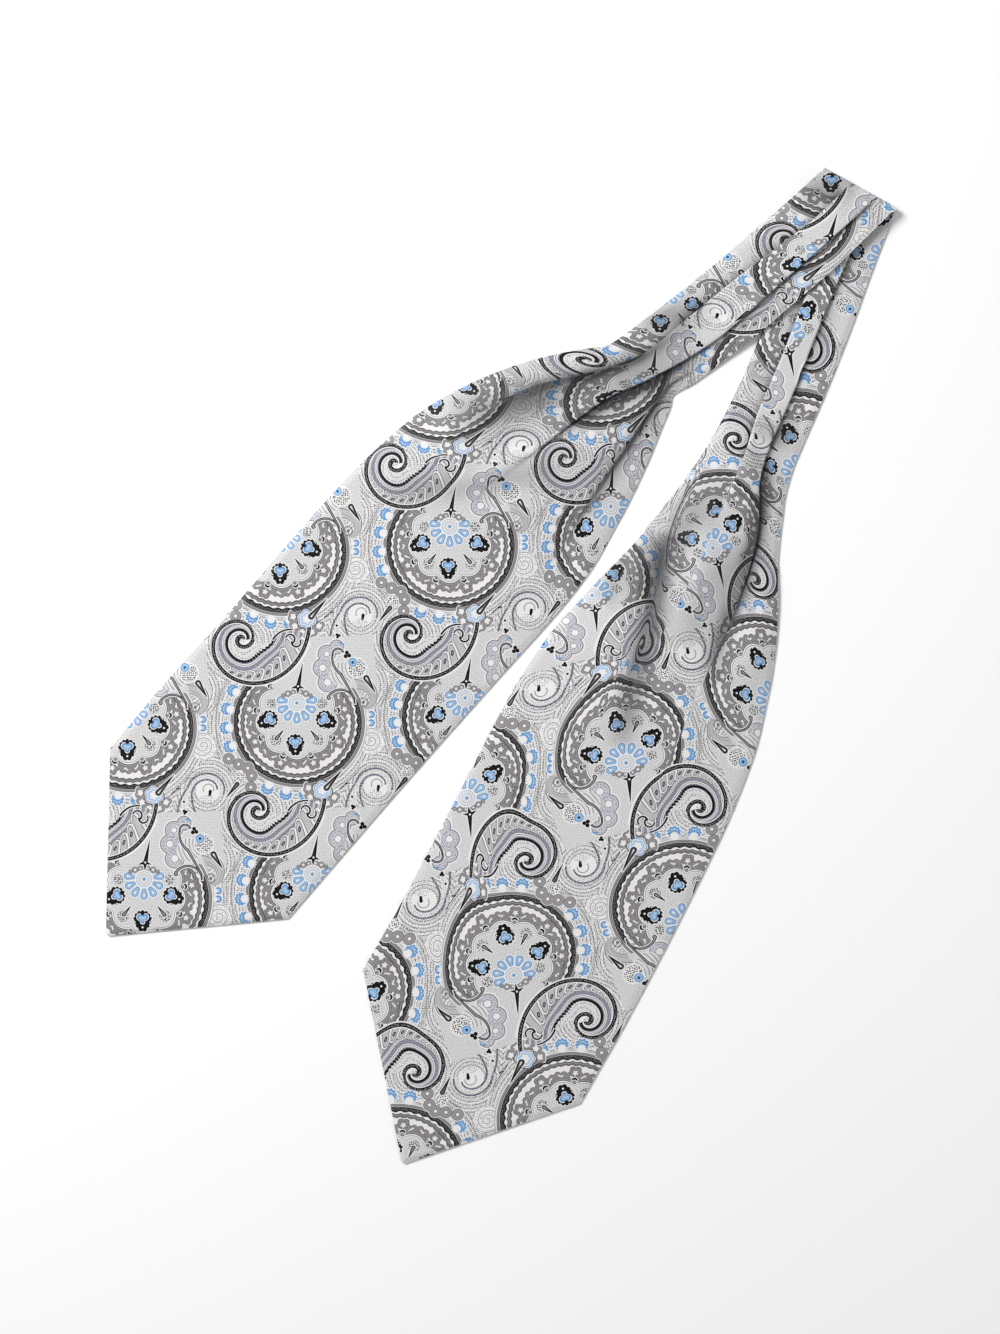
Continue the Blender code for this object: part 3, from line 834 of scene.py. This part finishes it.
def groundDots(repeat):
    # dotted lines at even distances from the nearest motif
    echo = least((disc(around(repeat, 0, -12), *rings["heart"], 43),
                  disc(around(repeat, -30, 36), -32, 37, 19),
                  discs(around(repeat, 34, 34), (38, 53, 12), (36, 10, 12))))
    lines = nearest(echo, printLay["echo"])
    paint("white", nearest(echo + 1.1, 2 * printLay["echo"]) < 0.6)
    paint("grey", (lines < 0.24) & (drawing["fine"] < 0.42))
    dots = drawing["coarse"] + (lines * 0.2)
    layered(dots, ((0.36, "mist"), (0.25, "grey")))


def rosette(repeat):
    # rings round a middle that is a little wider than it is high, then lobes r - s |sin 4.5 a|
    place = around(repeat, 0, -12)
    wide = vectorNode("MULTIPLY", place, (rings["narrowing"], 1.0, 0.0))
    r = disc(wide, *rings["heart"])
    angle = bearing(wide, *rings["heart"])
    dotted = (mathNode("SINE", angle * 240) > 0) & (abs(angle) > math.radians(rings["dottedPast"]))
    paint("grey", (line(r, 48.6, 0.5) | line(r, 46.6, 0.5)) & dotted)
    layered(r, ((39.9, "pale"), (39.1, "white"), (38.5, "grey"), (38.1, "mist"),
                (37.5, "grey"), (37.0, "white"), (36.8, "smoke"), (36.3, "grey")))
    paint("black", (r < 36.3) & (drawing["fine"] < 0.42))
    rough = wave(angle, 41, 0.4, r, rounded=False)
    layered(rough, ((34.7, "black"), (33.9, "white")))
    scallop = wave(angle, 50, 0.7, r)
    layered(scallop, ((33.3, "grey"), (32.5, "mist"), (32.0, "grey"), (30.8, "white")))
    rosetteGarland(place)


def rosetteGarland(place):
    # a flower with a black crescent under it at each cusp of the lobes, and a dotted garland between
    r = disc(place, *rings["lobeHeart"])
    angle = bearing(place, *rings["lobeHeart"], rings["cuspAt"])
    lobes = wave(angle, rings["lobes"], -2.9, r)
    own = fromPolar(r, nearestSpoke(angle, 2 * math.pi / rings["lobes"]))
    flower = wave(bearing(own, rings["flowerAt"]), 5, -1.0, disc(own, rings["flowerAt"], 0))
    ragged = wave(angle, 5 * rings["lobes"], -1.1, wave(angle, rings["lobes"], -0.2, lobes))
    garland = (flower - 3.4) & (ragged - 26.8)
    layered(garland, ((0.0, "grey"), (-0.45, "mist")))
    paint("grey", (garland < -0.45) & (drawing["fine"] < 0.3))
    layered(flower, ((1.7, "grey"), (1.3, "mist"), (0.6, "white")))
    beads = mathNode("SINE", angle * (3 * rings["lobes"])) > 0.35
    paint("white", line(ragged, 24.4, 1.0) & beads)
    layered(wave(angle, 6 * rings["lobes"], -0.5, lobes), ((23.6, "grey"), (23.25, "mist")))
    moon = disc(own, 24.6, 0, 1.7) | (disc(own, 23.5, 0) * -1 + 1.5)
    layered(moon, ((0.45, "white"), (0.0, "black")))
    layered(lobes, ((22.6, "smoke"), (22.2, "white"), (21.4, "grey"), (21.1, "ground")))
    paint("grey", (lobes < 20.3) & (drawing["fine"] < 0.2))
    rosetteFlowers(place)


def rosetteFlowers(place):
    # inside the lobes, in mirror pairs about x = 0: speckles, seeds and florets, and one more floret
    # on that line; the lobes' top is cleared back to the ground
    x, y = parts(place)
    top = (x > -15.0) & (y > 9.0)
    paint("ground", top)
    paint("mist", top & (drawing["fine"] < 0.22))
    mirrored = joined(abs(x), y)
    spots = discs(mirrored, (12.6, -22.2, 3.4), (15.2, -0.2, 3.0))
    paint("smoke", (spots < 0.0) & (drawing["coarse"] < 0.33))
    seed = stroke(mirrored, (8.3, -16.5), (12.2, -21.3), 0.3, 1.25)
    outlined(seed, (-0.65, "mist"))
    floret(turned(mirrored, 16.8, -9.9, -26))
    floret(turned(place, -0.9, -24.1, 270))
    heartFan(place)


def floret(own):
    # a black leafy cup, r - 0.9 |sin 6.5 a| - 2.1 cos^6 a < 4.75, round a blue trefoil
    across, up = parts(own)
    r = vectorNode("LENGTH", own)
    angle = mathNode("ARCTAN2", up, across)
    point = mathNode("POWER", mathNode("MAXIMUM", mathNode("COSINE", angle), 0.0), 6.0)
    cup = wave(angle, 13, -0.9, mathNode("MULTIPLY_ADD", point, -2.1, r))
    layered(cup, ((5.3, "white"), (4.75, "black")))
    heart = wave(angle + math.radians(60), 3, -1.7, disc(own, -0.8, 0))
    layered(heart, ((2.2, "white"), (1.7, "blue"), (0.6, "sky")))
    paint("black", disc(own, -3.7, 0) < 1.15)
    sides = joined(across, abs(up))
    paint("white", (disc(sides, 4.8, 0) < 0.6) | (disc(sides, 1.6, 4.6) < 0.45))


def heartFan(place):
    # seven petals, each a stroke along its own spoke, round a dotted heart
    step, petals = math.radians(33.5), 7
    angle = bearing(place, 0, 0, 270)
    r = vectorNode("LENGTH", place)
    petal = stroke(fromPolar(r, nearestSpoke(angle, step)), (7.0, 0), (10.0, 0), 1.45, 2.3)
    layered(petal, ((0.5, "white"), (0.0, "blue"), (-0.65, "sky"), (-1.25, "blue"), (-1.6, "white")),
            line(angle, 0.0, petals * step))
    x, y = parts(place)
    mirrored = joined(abs(x), y)
    bloom = discs(mirrored, (8.2, 4.4, 1.3), (5.4, 5.6, 1.9), (2.2, 6.4, 1.7))
    layered(bloom, ((0.0, "grey"), (-0.35, "mist"), (-1.2, "white")))
    layered(r, ((5.6, "white"), (4.9, "ground")))
    ring = line(nearest(r, 3.6), 0.85, 0.45) & (r < 4.9) & (mathNode("SINE", angle * 22) > 0)
    paint("blue", ring)
    paint("blue", r < 0.8)


def spire(repeat):
    # a star of four tapering strokes, one of them long, and a white heart
    place = around(repeat, 0, 10)
    star = strokes(place, ((0.9, 10.5), (3.4, 23.5), 1.35, 0.15), ((0.6, 10), (0.5, 5.4), 1.4, 0.15),
                   ((0.6, 10), (-3.4, 8.8), 1.2, 0.15), ((0.6, 10), (4.3, 8.8), 1.2, 0.15))
    outlined(star, (-1.0, "smoke"))
    paint("white", disc(place, 0.7, 10) < 0.6)


def crescents(repeat):
    # blue toothed crescents spaced round the rosette, each a disc less a smaller disc nearer its heart
    step = math.radians(15.3)
    ring = around(repeat, -6, -16)
    r = disc(ring, *rings["heart"])
    for degrees, shift, count in ((176.35, step / 2, 4), (260.5, 0.0, 3)):
        angle = bearing(ring, *rings["heart"], degrees)
        own = joined(r, nearestSpoke(angle - shift, step) * 43.2)
        teeth = mathNode("SINE", bearing(own, 42.0, 0) * 13)
        outer = mathNode("MULTIPLY_ADD", teeth, 0.4, disc(own, 43.2, 0, 3.7))
        inner = mathNode("MULTIPLY_ADD", teeth, -0.3, disc(own, 40.9, 0)) * -1 + 2.6
        shown = line(angle, 0.0, count * step)
        paint("white", (outer < 0.8) & shown)
        layered(outer | inner, ((0.0, "blue"), (-1.15, "sky")), shown)
    place = around(repeat, 40, -12)
    small = discs(place, (44.5, -6.9), (44.5, -11.9))
    layered(small, ((2.9, "white"), (2.2, "blue"), (1.2, "sky")))
    paint("white", discs(place, (42.9, -6.9), (42.9, -11.9)) < 1.2)


def cluster(repeat):
    # five grey flowers on a ring round a blue one, and a black drop over them
    place = around(repeat, 20, -48)
    middle, step = (15.2, -52.3), math.radians(40)
    angle = bearing(place, *middle, 250)
    r = disc(place, *middle)
    own = joined(r - 8.3, nearestSpoke(angle, step) * 8.0)
    flower = wave(bearing(own), 5, -0.7, vectorNode("LENGTH", own))
    layered(flower, ((3.3, "white"), (2.8, "grey"), (2.4, "mist"), (1.5, "grey"), (1.2, "white")),
            line(angle, 0.0, 5 * step))
    petals = wave(angle, 6, -0.9, r)
    layered(petals, ((5.9, "grey"), (5.0, "white"), (4.5, "blue"), (3.9, "white"), (3.2, "sky"),
                     (1.9, "white")))
    drop = stroke(place, (27.0, -40.2), (17.8, -50.8), 0.15, 1.9)
    outlined(drop, (-0.9, "grey"), (-1.5, "white"))
    thorns = strokes(place, ((25.7, -51.4), (36.7, -41.3), 0.3, 0.15),
                     ((29, -48.4), (32, -48), 0.45, 0.1))
    paint("black", thorns < 0.0)


def spray(repeat):
    # five ringed grey flowers in a row, a speckled one beside them, and a black drop
    place = around(repeat, -33, -45)
    away = discs(place, (-40.9, -33.5), (-34.9, -36.7), (-29.4, -39.0), (-27.1, -43.6), (-27.6, -50.5))
    layered(away, ((4.0, "white"), (3.6, "grey"), (3.25, "mist"), (1.3, "grey"), (0.95, "white")))
    spot = disc(place, -34.4, -44.6)
    paint("white", spot < 4.0)
    paint("black", (spot < 3.7) & (drawing["coarse"] < 0.31))
    drop = stroke(place, (-35.8, -48.7), (-42.6, -57.0), 1.45, 0.15)
    outlined(drop, (-0.8, "grey"))


def shellAndStems(repeat):
    # a scalloped shell of four ringed discs, a leaf ribbed with even circles, and black curling stems
    place = around(repeat, 33, 9)
    away = discs(place, (23.9, 33.5, -0.6), (17.9, 29.4, 0.4), (15.4, 21.1, 0.8), (18.4, 12.4, 0.9))
    layered(away, ((5.9, "white"), (5.1, "grey"), (4.8, "lilac"), (4.2, "white"),
                   (3.9, "lilac"), (3.5, "ground"), (1.5, "grey"), (1.2, "white")))
    paint("lilac", line(away, 2.5, 2.0) & (drawing["fine"] < 0.4))
    leaf = disc(place, 27.0, 17.6)
    layered(leaf, ((7.4, "white"), (7.0, "ground")))
    paint("mist", (leaf < 7.0) & (nearest(disc(place, 38.0, 22.0), 2.2) < 0.3))
    stem = stroke(place, (26.6, 16.8), (34.6, 2.8), 0.95, 0.6) & disc(place, 19.1, 3.0, 1.3)
    stem = stem & arcs(place, (26.2, -0.5, 8.45, 0, 158, 0.55, 0.9),
                       (24.6, 29.4, 3.2, 15, 195, 0.75, 0.6), (33.1, 27.1, 11.9, 172, 238, 0.6, 0.95))
    outlined(stem, (-0.5, "mist"))


curlLeaf = {                         # the small leaf that curls in to its foot
    "foot": (39.9, 0.4),
    "radius": 7.3,                   # r0 and g of its spiral, r = r0 exp(g a)
    "growth": 0.48,
    "tilt": 17.0,                    # degrees that the spiral is turned by
    "rib": 0.8}                      # how far the leaf's middle lies inside the spiral, as an angle


def smallPaisley(repeat):
    # a leaf lined on both sides of its rib, where v = |ln(r / r0) / g - a + rib| is 0, a black drop
    # in it, and over it a speckled bloom with a blue eye
    place = around(repeat, 40, 10)
    r = disc(place, *curlLeaf["foot"])
    angle = bearing(place, *curlLeaf["foot"], -curlLeaf["tilt"])
    logR = mathNode("LOGARITHM", r * (1 / curlLeaf["radius"]), math.e)
    rib = math.radians(curlLeaf["tilt"]) + curlLeaf["rib"]
    v = abs(mathNode("MULTIPLY_ADD", logR, 1 / curlLeaf["growth"], rib) - angle)
    leaf = (angle < math.radians(128)) & (r > 1.6)
    layered(v, ((0.98, "white"), (0.88, "smoke"), (0.82, "mist"), (0.66, "white"),
                (0.58, "grey"), (0.5, "ground"), (0.38, "grey"), (0.3, "pale")), leaf)
    paint("grey", line(r, 2.6, 0.5) | (r < 0.9))
    drop = stroke(place, (41.6, 14.9), (47.0, 6.4), 1.85, 0.2)
    outlined(drop, (-0.9, "grey"), (-1.4, "white"))
    bloom = disc(place, 35.8, 21.1)
    petals = mathNode("MULTIPLY_ADD", drawing["coarse"], -1.6, bloom)
    paint("white", petals < 5.6)
    paint("black", (petals < 5.0) & (drawing["coarse"] < 0.33))
    eye = disc(place, 33.5, 24.3)
    layered(eye, ((3.1, "white"), (2.7, "blue"), (2.0, "sky"), (1.2, "blue"), (0.6, "black")))


def clovers(repeat):
    # two black clovers of three discs each, a seed, and a blue stroke
    place = around(repeat, 28, 38)
    leaves = discs(place, (30.0, 30.2), (31.4, 28.4), (29.2, 28.0), (24.0, 40.9, -0.3),
                   (25.3, 40.4, -0.35), (24.3, 39.4, -0.4), (23.9, 46.4, -0.45))
    layered(leaves, ((1.7, "white"), (1.2, "black")))
    paint("blue", stroke(place, (25.4, 36.0), (28.2, 35.2), 0.5, 0.4) < 0.0)


def paleBoteh(repeat):
    # a pale curled leaf between two dotted lines that uncoil from its head
    place = around(repeat, 34, 45)
    paint("white", disc(place, 38.6, 53.0) < 7.2)
    band = arcs(place, (39.5, 52.0, 6.4, -10, 185, 1.3, 1.4, 6.3),
                (54.5, 44.0, 30.2, 164, 210, 1.3, 1.4))
    paint("white", band < 0.4)
    paint("mist", (band < 0.0) & (drawing["fine"] < 0.3))
    edge = arcs(place, (39.5, 52.0, 8.2, -10, 170, 0.6, 0.65, 5.6),
                (48.5, 37.0, 28.6, 143, 196, 0.6, 0.65), (39.5, 52.0, 4.6, 20, 200, 0.6, 0.65, 7.0),
                (60.5, 51.5, 32.0, 186, 224, 0.6, 0.65))
    paint("lilac", edge < 0.0)
    paint("smoke", (edge < -0.1) & (drawing["fine"] < 0.42))
    curl = arc(place, 38.6, 53.8, 3.2, -20, 210, 0.3, 0.3)
    layered(curl, ((0.35, "white"), (0.0, "mist")))
    paint("black", stroke(place, (39.7, 52.6), (39.3, 50.2), 1.0, 0.75) < 0.0)
    paint("mist", (disc(place, 37.6, 45.6) < 5.2) & (drawing["coarse"] < 0.27))


def paleCurl(repeat):
    # a coil, r + pitch a / (2 pi) = a whole number of pitches, on a pale disc with eleven lobes
    place = around(repeat, 44, -22)
    middle, pitch = (44.5, -22.5), 2.6
    r = disc(place, *middle)
    angle = bearing(place, *middle)
    paint("pale", r < 8.6)
    paint("white", wave(angle, 11, -0.8, r) < 7.6)
    coil = nearest(mathNode("MULTIPLY_ADD", angle, pitch / (2 * math.pi), r), pitch)
    paint("mist", (coil < 0.26) & (r < 7.6))
    paint("grey", (r < 7.4) & (coil > 0.9) & (drawing["coarse"] < 0.24))


boteh = {                            # the large dark leaf
    "coilHeart": (-33.1, 38.1),
    "radius": 6.9,                   # r0 and g of its outer line, r = r0 exp(g a)
    "growth": 0.2765,
    "depth": 0.37,                   # from the outer line to the inner one, in turns of the spiral
    "swell": 0.14,                   # extra depth of the leaf's belly, and the directions it spans
    "swellAt": 322.0,
    "swellReach": 30.0,
    "tailHeart": (-3.7, 31.7),
    "tailRadius": 12.4,
    "petalStep": 13.0}               # degrees from one petal to the next


def darkBoteh(repeat):
    # a log spiral, r = r0 exp(g a): w = (ln(r / r0) / g - a) / 2 pi is 0 on its outer line, and
    # w = -depth - swell exp(-((a - b) / c)^2) on its inner one
    place = around(repeat, -21, 33)
    growth, turn = boteh["growth"], 2 * math.pi
    r = disc(place, *boteh["coilHeart"])
    angle = mathNode("WRAP", bearing(place, *boteh["coilHeart"]), turn, 0.0)
    angle = mathNode("MULTIPLY_ADD", (angle < math.radians(12)) & (r > 17), turn, angle)
    logR = mathNode("LOGARITHM", r * (1 / boteh["radius"]), math.e)
    w = (logR * (1 / growth) - angle) * (1 / turn)
    bend = (angle - math.radians(boteh["swellAt"])) * (1 / math.radians(boteh["swellReach"]))
    swell = mathNode("POWER", math.e, bend * bend * -1)
    scale = r * (growth * turn)
    innerLine = mathNode("MULTIPLY_ADD", swell, boteh["swell"], w + boteh["depth"]) * scale
    end = (disc(place, *boteh["tailHeart"]) < boteh["tailRadius"]) | (angle < math.radians(352))
    inside = (w < 0.0) & (w > -1.0) & end
    body = inside & (innerLine > 0.0)
    paint("white", (w < 0.04) & (w > -1.6) & end)
    paint("ground", inside)
    paint("grey", (drawing["coarse"] < 0.27) & inside & (nearest(innerLine, 1.9) < 0.4))
    paint("lilac", body)
    paint("grey", body & (drawing["fine"] < 0.34))
    paint("white", body & line(nearest(innerLine, 5.0), 1.9, 0.6))
    botehPetals(r, angle, w, w * scale * -1, body)
    ripple = mathNode("SINE", angle * 46) * (swell + 0.15)
    inner = mathNode("MULTIPLY_ADD", ripple, 0.55, abs(innerLine))
    paint("white", (inner < 1.25) & inside & (innerLine < 0.0))
    paint("black", (inner < 0.85) & inside)
    outer = mathNode("PINGPONG", w, 0.5) * scale
    shown = (w < 0.04) & (w > -1.6) & (angle < turn + math.radians(10))
    layered(outer, ((1.7, "white"), (1.2, "black")), shown)
    paint("pale", (outer < 0.5) & shown & (drawing["fine"] < 0.24))
    hooks = arcs(place, (-4.0, 38.3, 2.7, -80, 170, 0.6, 0.45), (-0.4, 36.4, 2.7, 170, 395, 0.6, 0.45),
                 (*boteh["tailHeart"], boteh["tailRadius"], 84, 150, 0.45, 0.6))
    layered(hooks, ((0.45, "white"), (0.0, "black")))


def botehPetals(r, angle, w, inward, body):
    # petals that lean from the outer line towards the tail, a step of angle apart: a dark edge where
    # 100 |p - middle| / r meets one value, and a seed in each, all of them longer towards the tail
    lean = nearestSpoke(mathNode("MULTIPLY_ADD", w, 1.5, angle), math.radians(boteh["petalStep"]))
    growing = mathNode("MULTIPLY_ADD", angle, 1 / math.radians(430), -0.36)
    reach = r * growing * 0.68
    own = joined(inward, lean * r)
    share = mathNode("DIVIDE", 100.0, r)
    petal = vectorNode("DISTANCE", own, joined(inward & reach, 0.0)) * share
    layered(petal, ((13.0, "black"), (11.8, "white"), (8.8, "smoke"), (7.4, "pale")),
            body & line(angle, math.radians(275), math.radians(175)))
    seed = vectorNode("DISTANCE", own, joined(reach * 0.8, 0.0)) * share
    layered(seed, ((4.3, "black"), (2.0, "mist")),
            body & line(angle, math.radians(297), math.radians(100)))


weave = {
    "twillPitch": 0.42,              # millimetres from one diagonal rib to the next
    "twillAngle": 63.0,              # degrees from the print's own right
    "threadPitch": 0.21,
    "relief": 0.00002,               # metres
    "bumpStrength": 0.35,
    "roughness": 0.42,
    "gloss": 0.17,
    "sheen": 0.05,
    "sheenRoughness": 0.35}


def twill(place):
    # height = sin(2 pi t / pitch) (0.75 + 0.25 sin(2 pi s / thread)), t across the ribs, s along them
    along, across = parts(place, weave["twillAngle"])
    rib = mathNode("SINE", across * (2 * math.pi / weave["twillPitch"]))
    thread = mathNode("SINE", along * (2 * math.pi / weave["threadPitch"]))
    bump = newNode("Bump")
    bump.inputs["Strength"].default_value = weave["bumpStrength"]
    bump.inputs["Distance"].default_value = weave["relief"]
    wire(rib * mathNode("MULTIPLY_ADD", thread, 0.25, 0.75), bump.inputs["Height"])
    return Field(bump.outputs[0])


def silkMaterial():
    # the place in millimetres, its shares of the two repeats, w = (p x b, a x p) / (a x b), then one
    # motif over another, the painted shade of the tucks, and the twill
    material = bpy.data.materials.new("silk")
    material.use_nodes = True
    tree = material.node_tree
    drawing["tree"] = tree
    uvMap = newNode("UVMap")
    uvMap.uv_map = "cloth"
    uv = Field(uvMap.outputs[0])
    drawing["fine"] = dotGrid(uv, printLay["fineDots"])
    drawing["coarse"] = dotGrid(uv, printLay["coarseDots"])
    place = vectorNode("MULTIPLY", uv, (1 / mm, 1 / mm, 0))
    (ax, ay), (bx, by) = printLay["repeatA"], printLay["repeatB"]
    size = ax * by - ay * bx
    repeat = joined(vectorNode("DOT_PRODUCT", place, (by / size, -bx / size, 0)),
                    vectorNode("DOT_PRODUCT", place, (-ay / size, ax / size, 0)))
    for motif in (groundDots, paleBoteh, paleCurl, rosette, shellAndStems, crescents, cluster, spray,
                  smallPaisley, clovers, darkBoteh, spire):
        motif(repeat)
    # painted shade: the colour is drawn towards the dark tuck ink by the shade attribute, where creases
    # and pleat lips lie in shadow
    shade = newNode("Attribute")
    shade.attribute_name = "shade"
    paint("tuck", Field(shade.outputs["Fac"]))
    shader = tree.nodes["Principled BSDF"]
    wire(drawing["colour"], shader.inputs["Base Color"])
    wire(twill(place), shader.inputs["Normal"])
    for socket, key in (("Roughness", "roughness"), ("Specular IOR Level", "gloss"),
                        ("Sheen Weight", "sheen"), ("Sheen Roughness", "sheenRoughness")):
        shader.inputs[socket].default_value = weave[key]
    print("print drawn with", len(tree.nodes), "nodes")
    return material


studio = {
    "lens": 85.0,                    # millimetres, on a sensor 36 mm wide
    "sensor": 36.0,
    "frameHeight": 0.8004,           # metres of the surface that the picture is high
    "centre": (-0.01296, -0.0428),   # metres, where the camera looks straight down
    "roll": 35.0,                    # degrees
    "floorHeight": -0.0001,
    "floorSize": 12.0,
    "floorColour": (0.95, 0.95, 0.95, 1.0),
    "floorRoughness": 0.9,
    "floorGloss": 0.1,
    "worldStrength": 0.38,
    "keyPower": 42.0,
    "keySize": 0.9,
    "keyPlace": (-1.1, 1.0, 1.45),   # metres from the centre: along the picture's right, its up, off it
    "fillPower": 3.0,
    "fillPlace": (1.2, -0.6, 1.2)}


def pictureToPart(right, up):
    # the picture's right and up turned by its roll
    a = math.radians(studio["roll"])
    return (studio["centre"][0] + right * math.cos(a) - up * math.sin(a),
            studio["centre"][1] + right * math.sin(a) + up * math.cos(a))


def addCamera():
    # height = frame height x lens / sensor height, the picture's longer side being upright
    data = bpy.data.cameras.new("camera")
    data.lens = studio["lens"]
    data.sensor_width = studio["sensor"]
    camera = placed("camera", data)
    height = studio["frameHeight"] * studio["lens"] / studio["sensor"]
    camera.location = (*studio["centre"], height)
    camera.rotation_euler = (0, 0, math.radians(studio["roll"]))
    bpy.context.scene.camera = camera


def addFloor():
    # one flat square, its corners at +-half the floor's size
    half = studio["floorSize"] / 2
    mesh = bpy.data.meshes.new("floor")
    z = studio["floorHeight"]
    corners = [(-half, -half, z), (half, -half, z), (half, half, z), (-half, half, z)]
    mesh.from_pydata(corners, [], [(0, 1, 2, 3)])
    material = bpy.data.materials.new("floorPaper")
    material.use_nodes = True
    shader = material.node_tree.nodes["Principled BSDF"]
    shader.inputs["Base Color"].default_value = studio["floorColour"]
    shader.inputs["Roughness"].default_value = studio["floorRoughness"]
    shader.inputs["Specular IOR Level"].default_value = studio["floorGloss"]
    mesh.materials.append(material)
    placed("floor", mesh)


def addLight(name, place, power, size):
    # a round lamp whose beam runs from its place to the centre
    data = bpy.data.lights.new(name, "AREA")
    data.shape = "DISK"
    data.size = size
    data.energy = power
    light = placed(name, data)
    light.location = (*pictureToPart(place[0], place[1]), place[2])
    aim = light.location - mathutils.Vector((*studio["centre"], 0))
    light.rotation_euler = aim.to_track_quat("Z", "Y").to_euler()


def addWorld():
    # the same white light from every side
    world = bpy.data.worlds.new("studio")
    world.use_nodes = True
    background = world.node_tree.nodes["Background"]
    background.inputs["Color"].default_value = (1, 1, 1, 1)
    background.inputs["Strength"].default_value = studio["worldStrength"]
    bpy.context.scene.world = world


bpy.context.scene.view_settings.view_transform = "Standard"
addCamera()
addFloor()
addWorld()
addLight("keyLight", studio["keyPlace"], studio["keyPower"], studio["keySize"])
addLight("fillLight", studio["fillPlace"], studio["fillPower"], studio["keySize"])
print("studio ready")

silk = silkMaterial()
print("silk ready")

sheets = {                           # each panel's cut in metres, its flat area, and what it stands for
    "leftFront": {
        "piece": frontPanel("leftFront", leftLimb, False),
        "flat": (0.152, 0.650), "area": 0.072,
        "replaces": ("left_front", "neck_turn_outer"),
        "restsOn": ["leftBack", "rightFront"], "held": "folded"},
    "rightFront": {
        "piece": frontPanel("rightFront", rightLimb, True),
        "flat": (0.156, 0.655), "area": 0.070,
        "replaces": ("right_front", "neck_turn_inner"),
        "restsOn": ["rightBack"], "held": "folded"},
    "leftBack": {
        "piece": backPanel("leftBack", leftLimb),
        "flat": (0.149, 0.633), "area": 0.066,
        "replaces": ("left_back",),
        "restsOn": ["rightFront"], "held": "laid"},
    "rightBack": {
        "piece": backPanel("rightBack", rightLimb),
        "flat": (0.153, 0.643), "area": 0.065,
        "replaces": ("right_back",),
        "restsOn": ["floor"], "held": "laid"}}

for sheet in sheets.values():
    piece = sheet["piece"]
    piece.data.materials.append(silk)
    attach(piece, "root")
    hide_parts(*sheet["replaces"])
print("panels dressed")
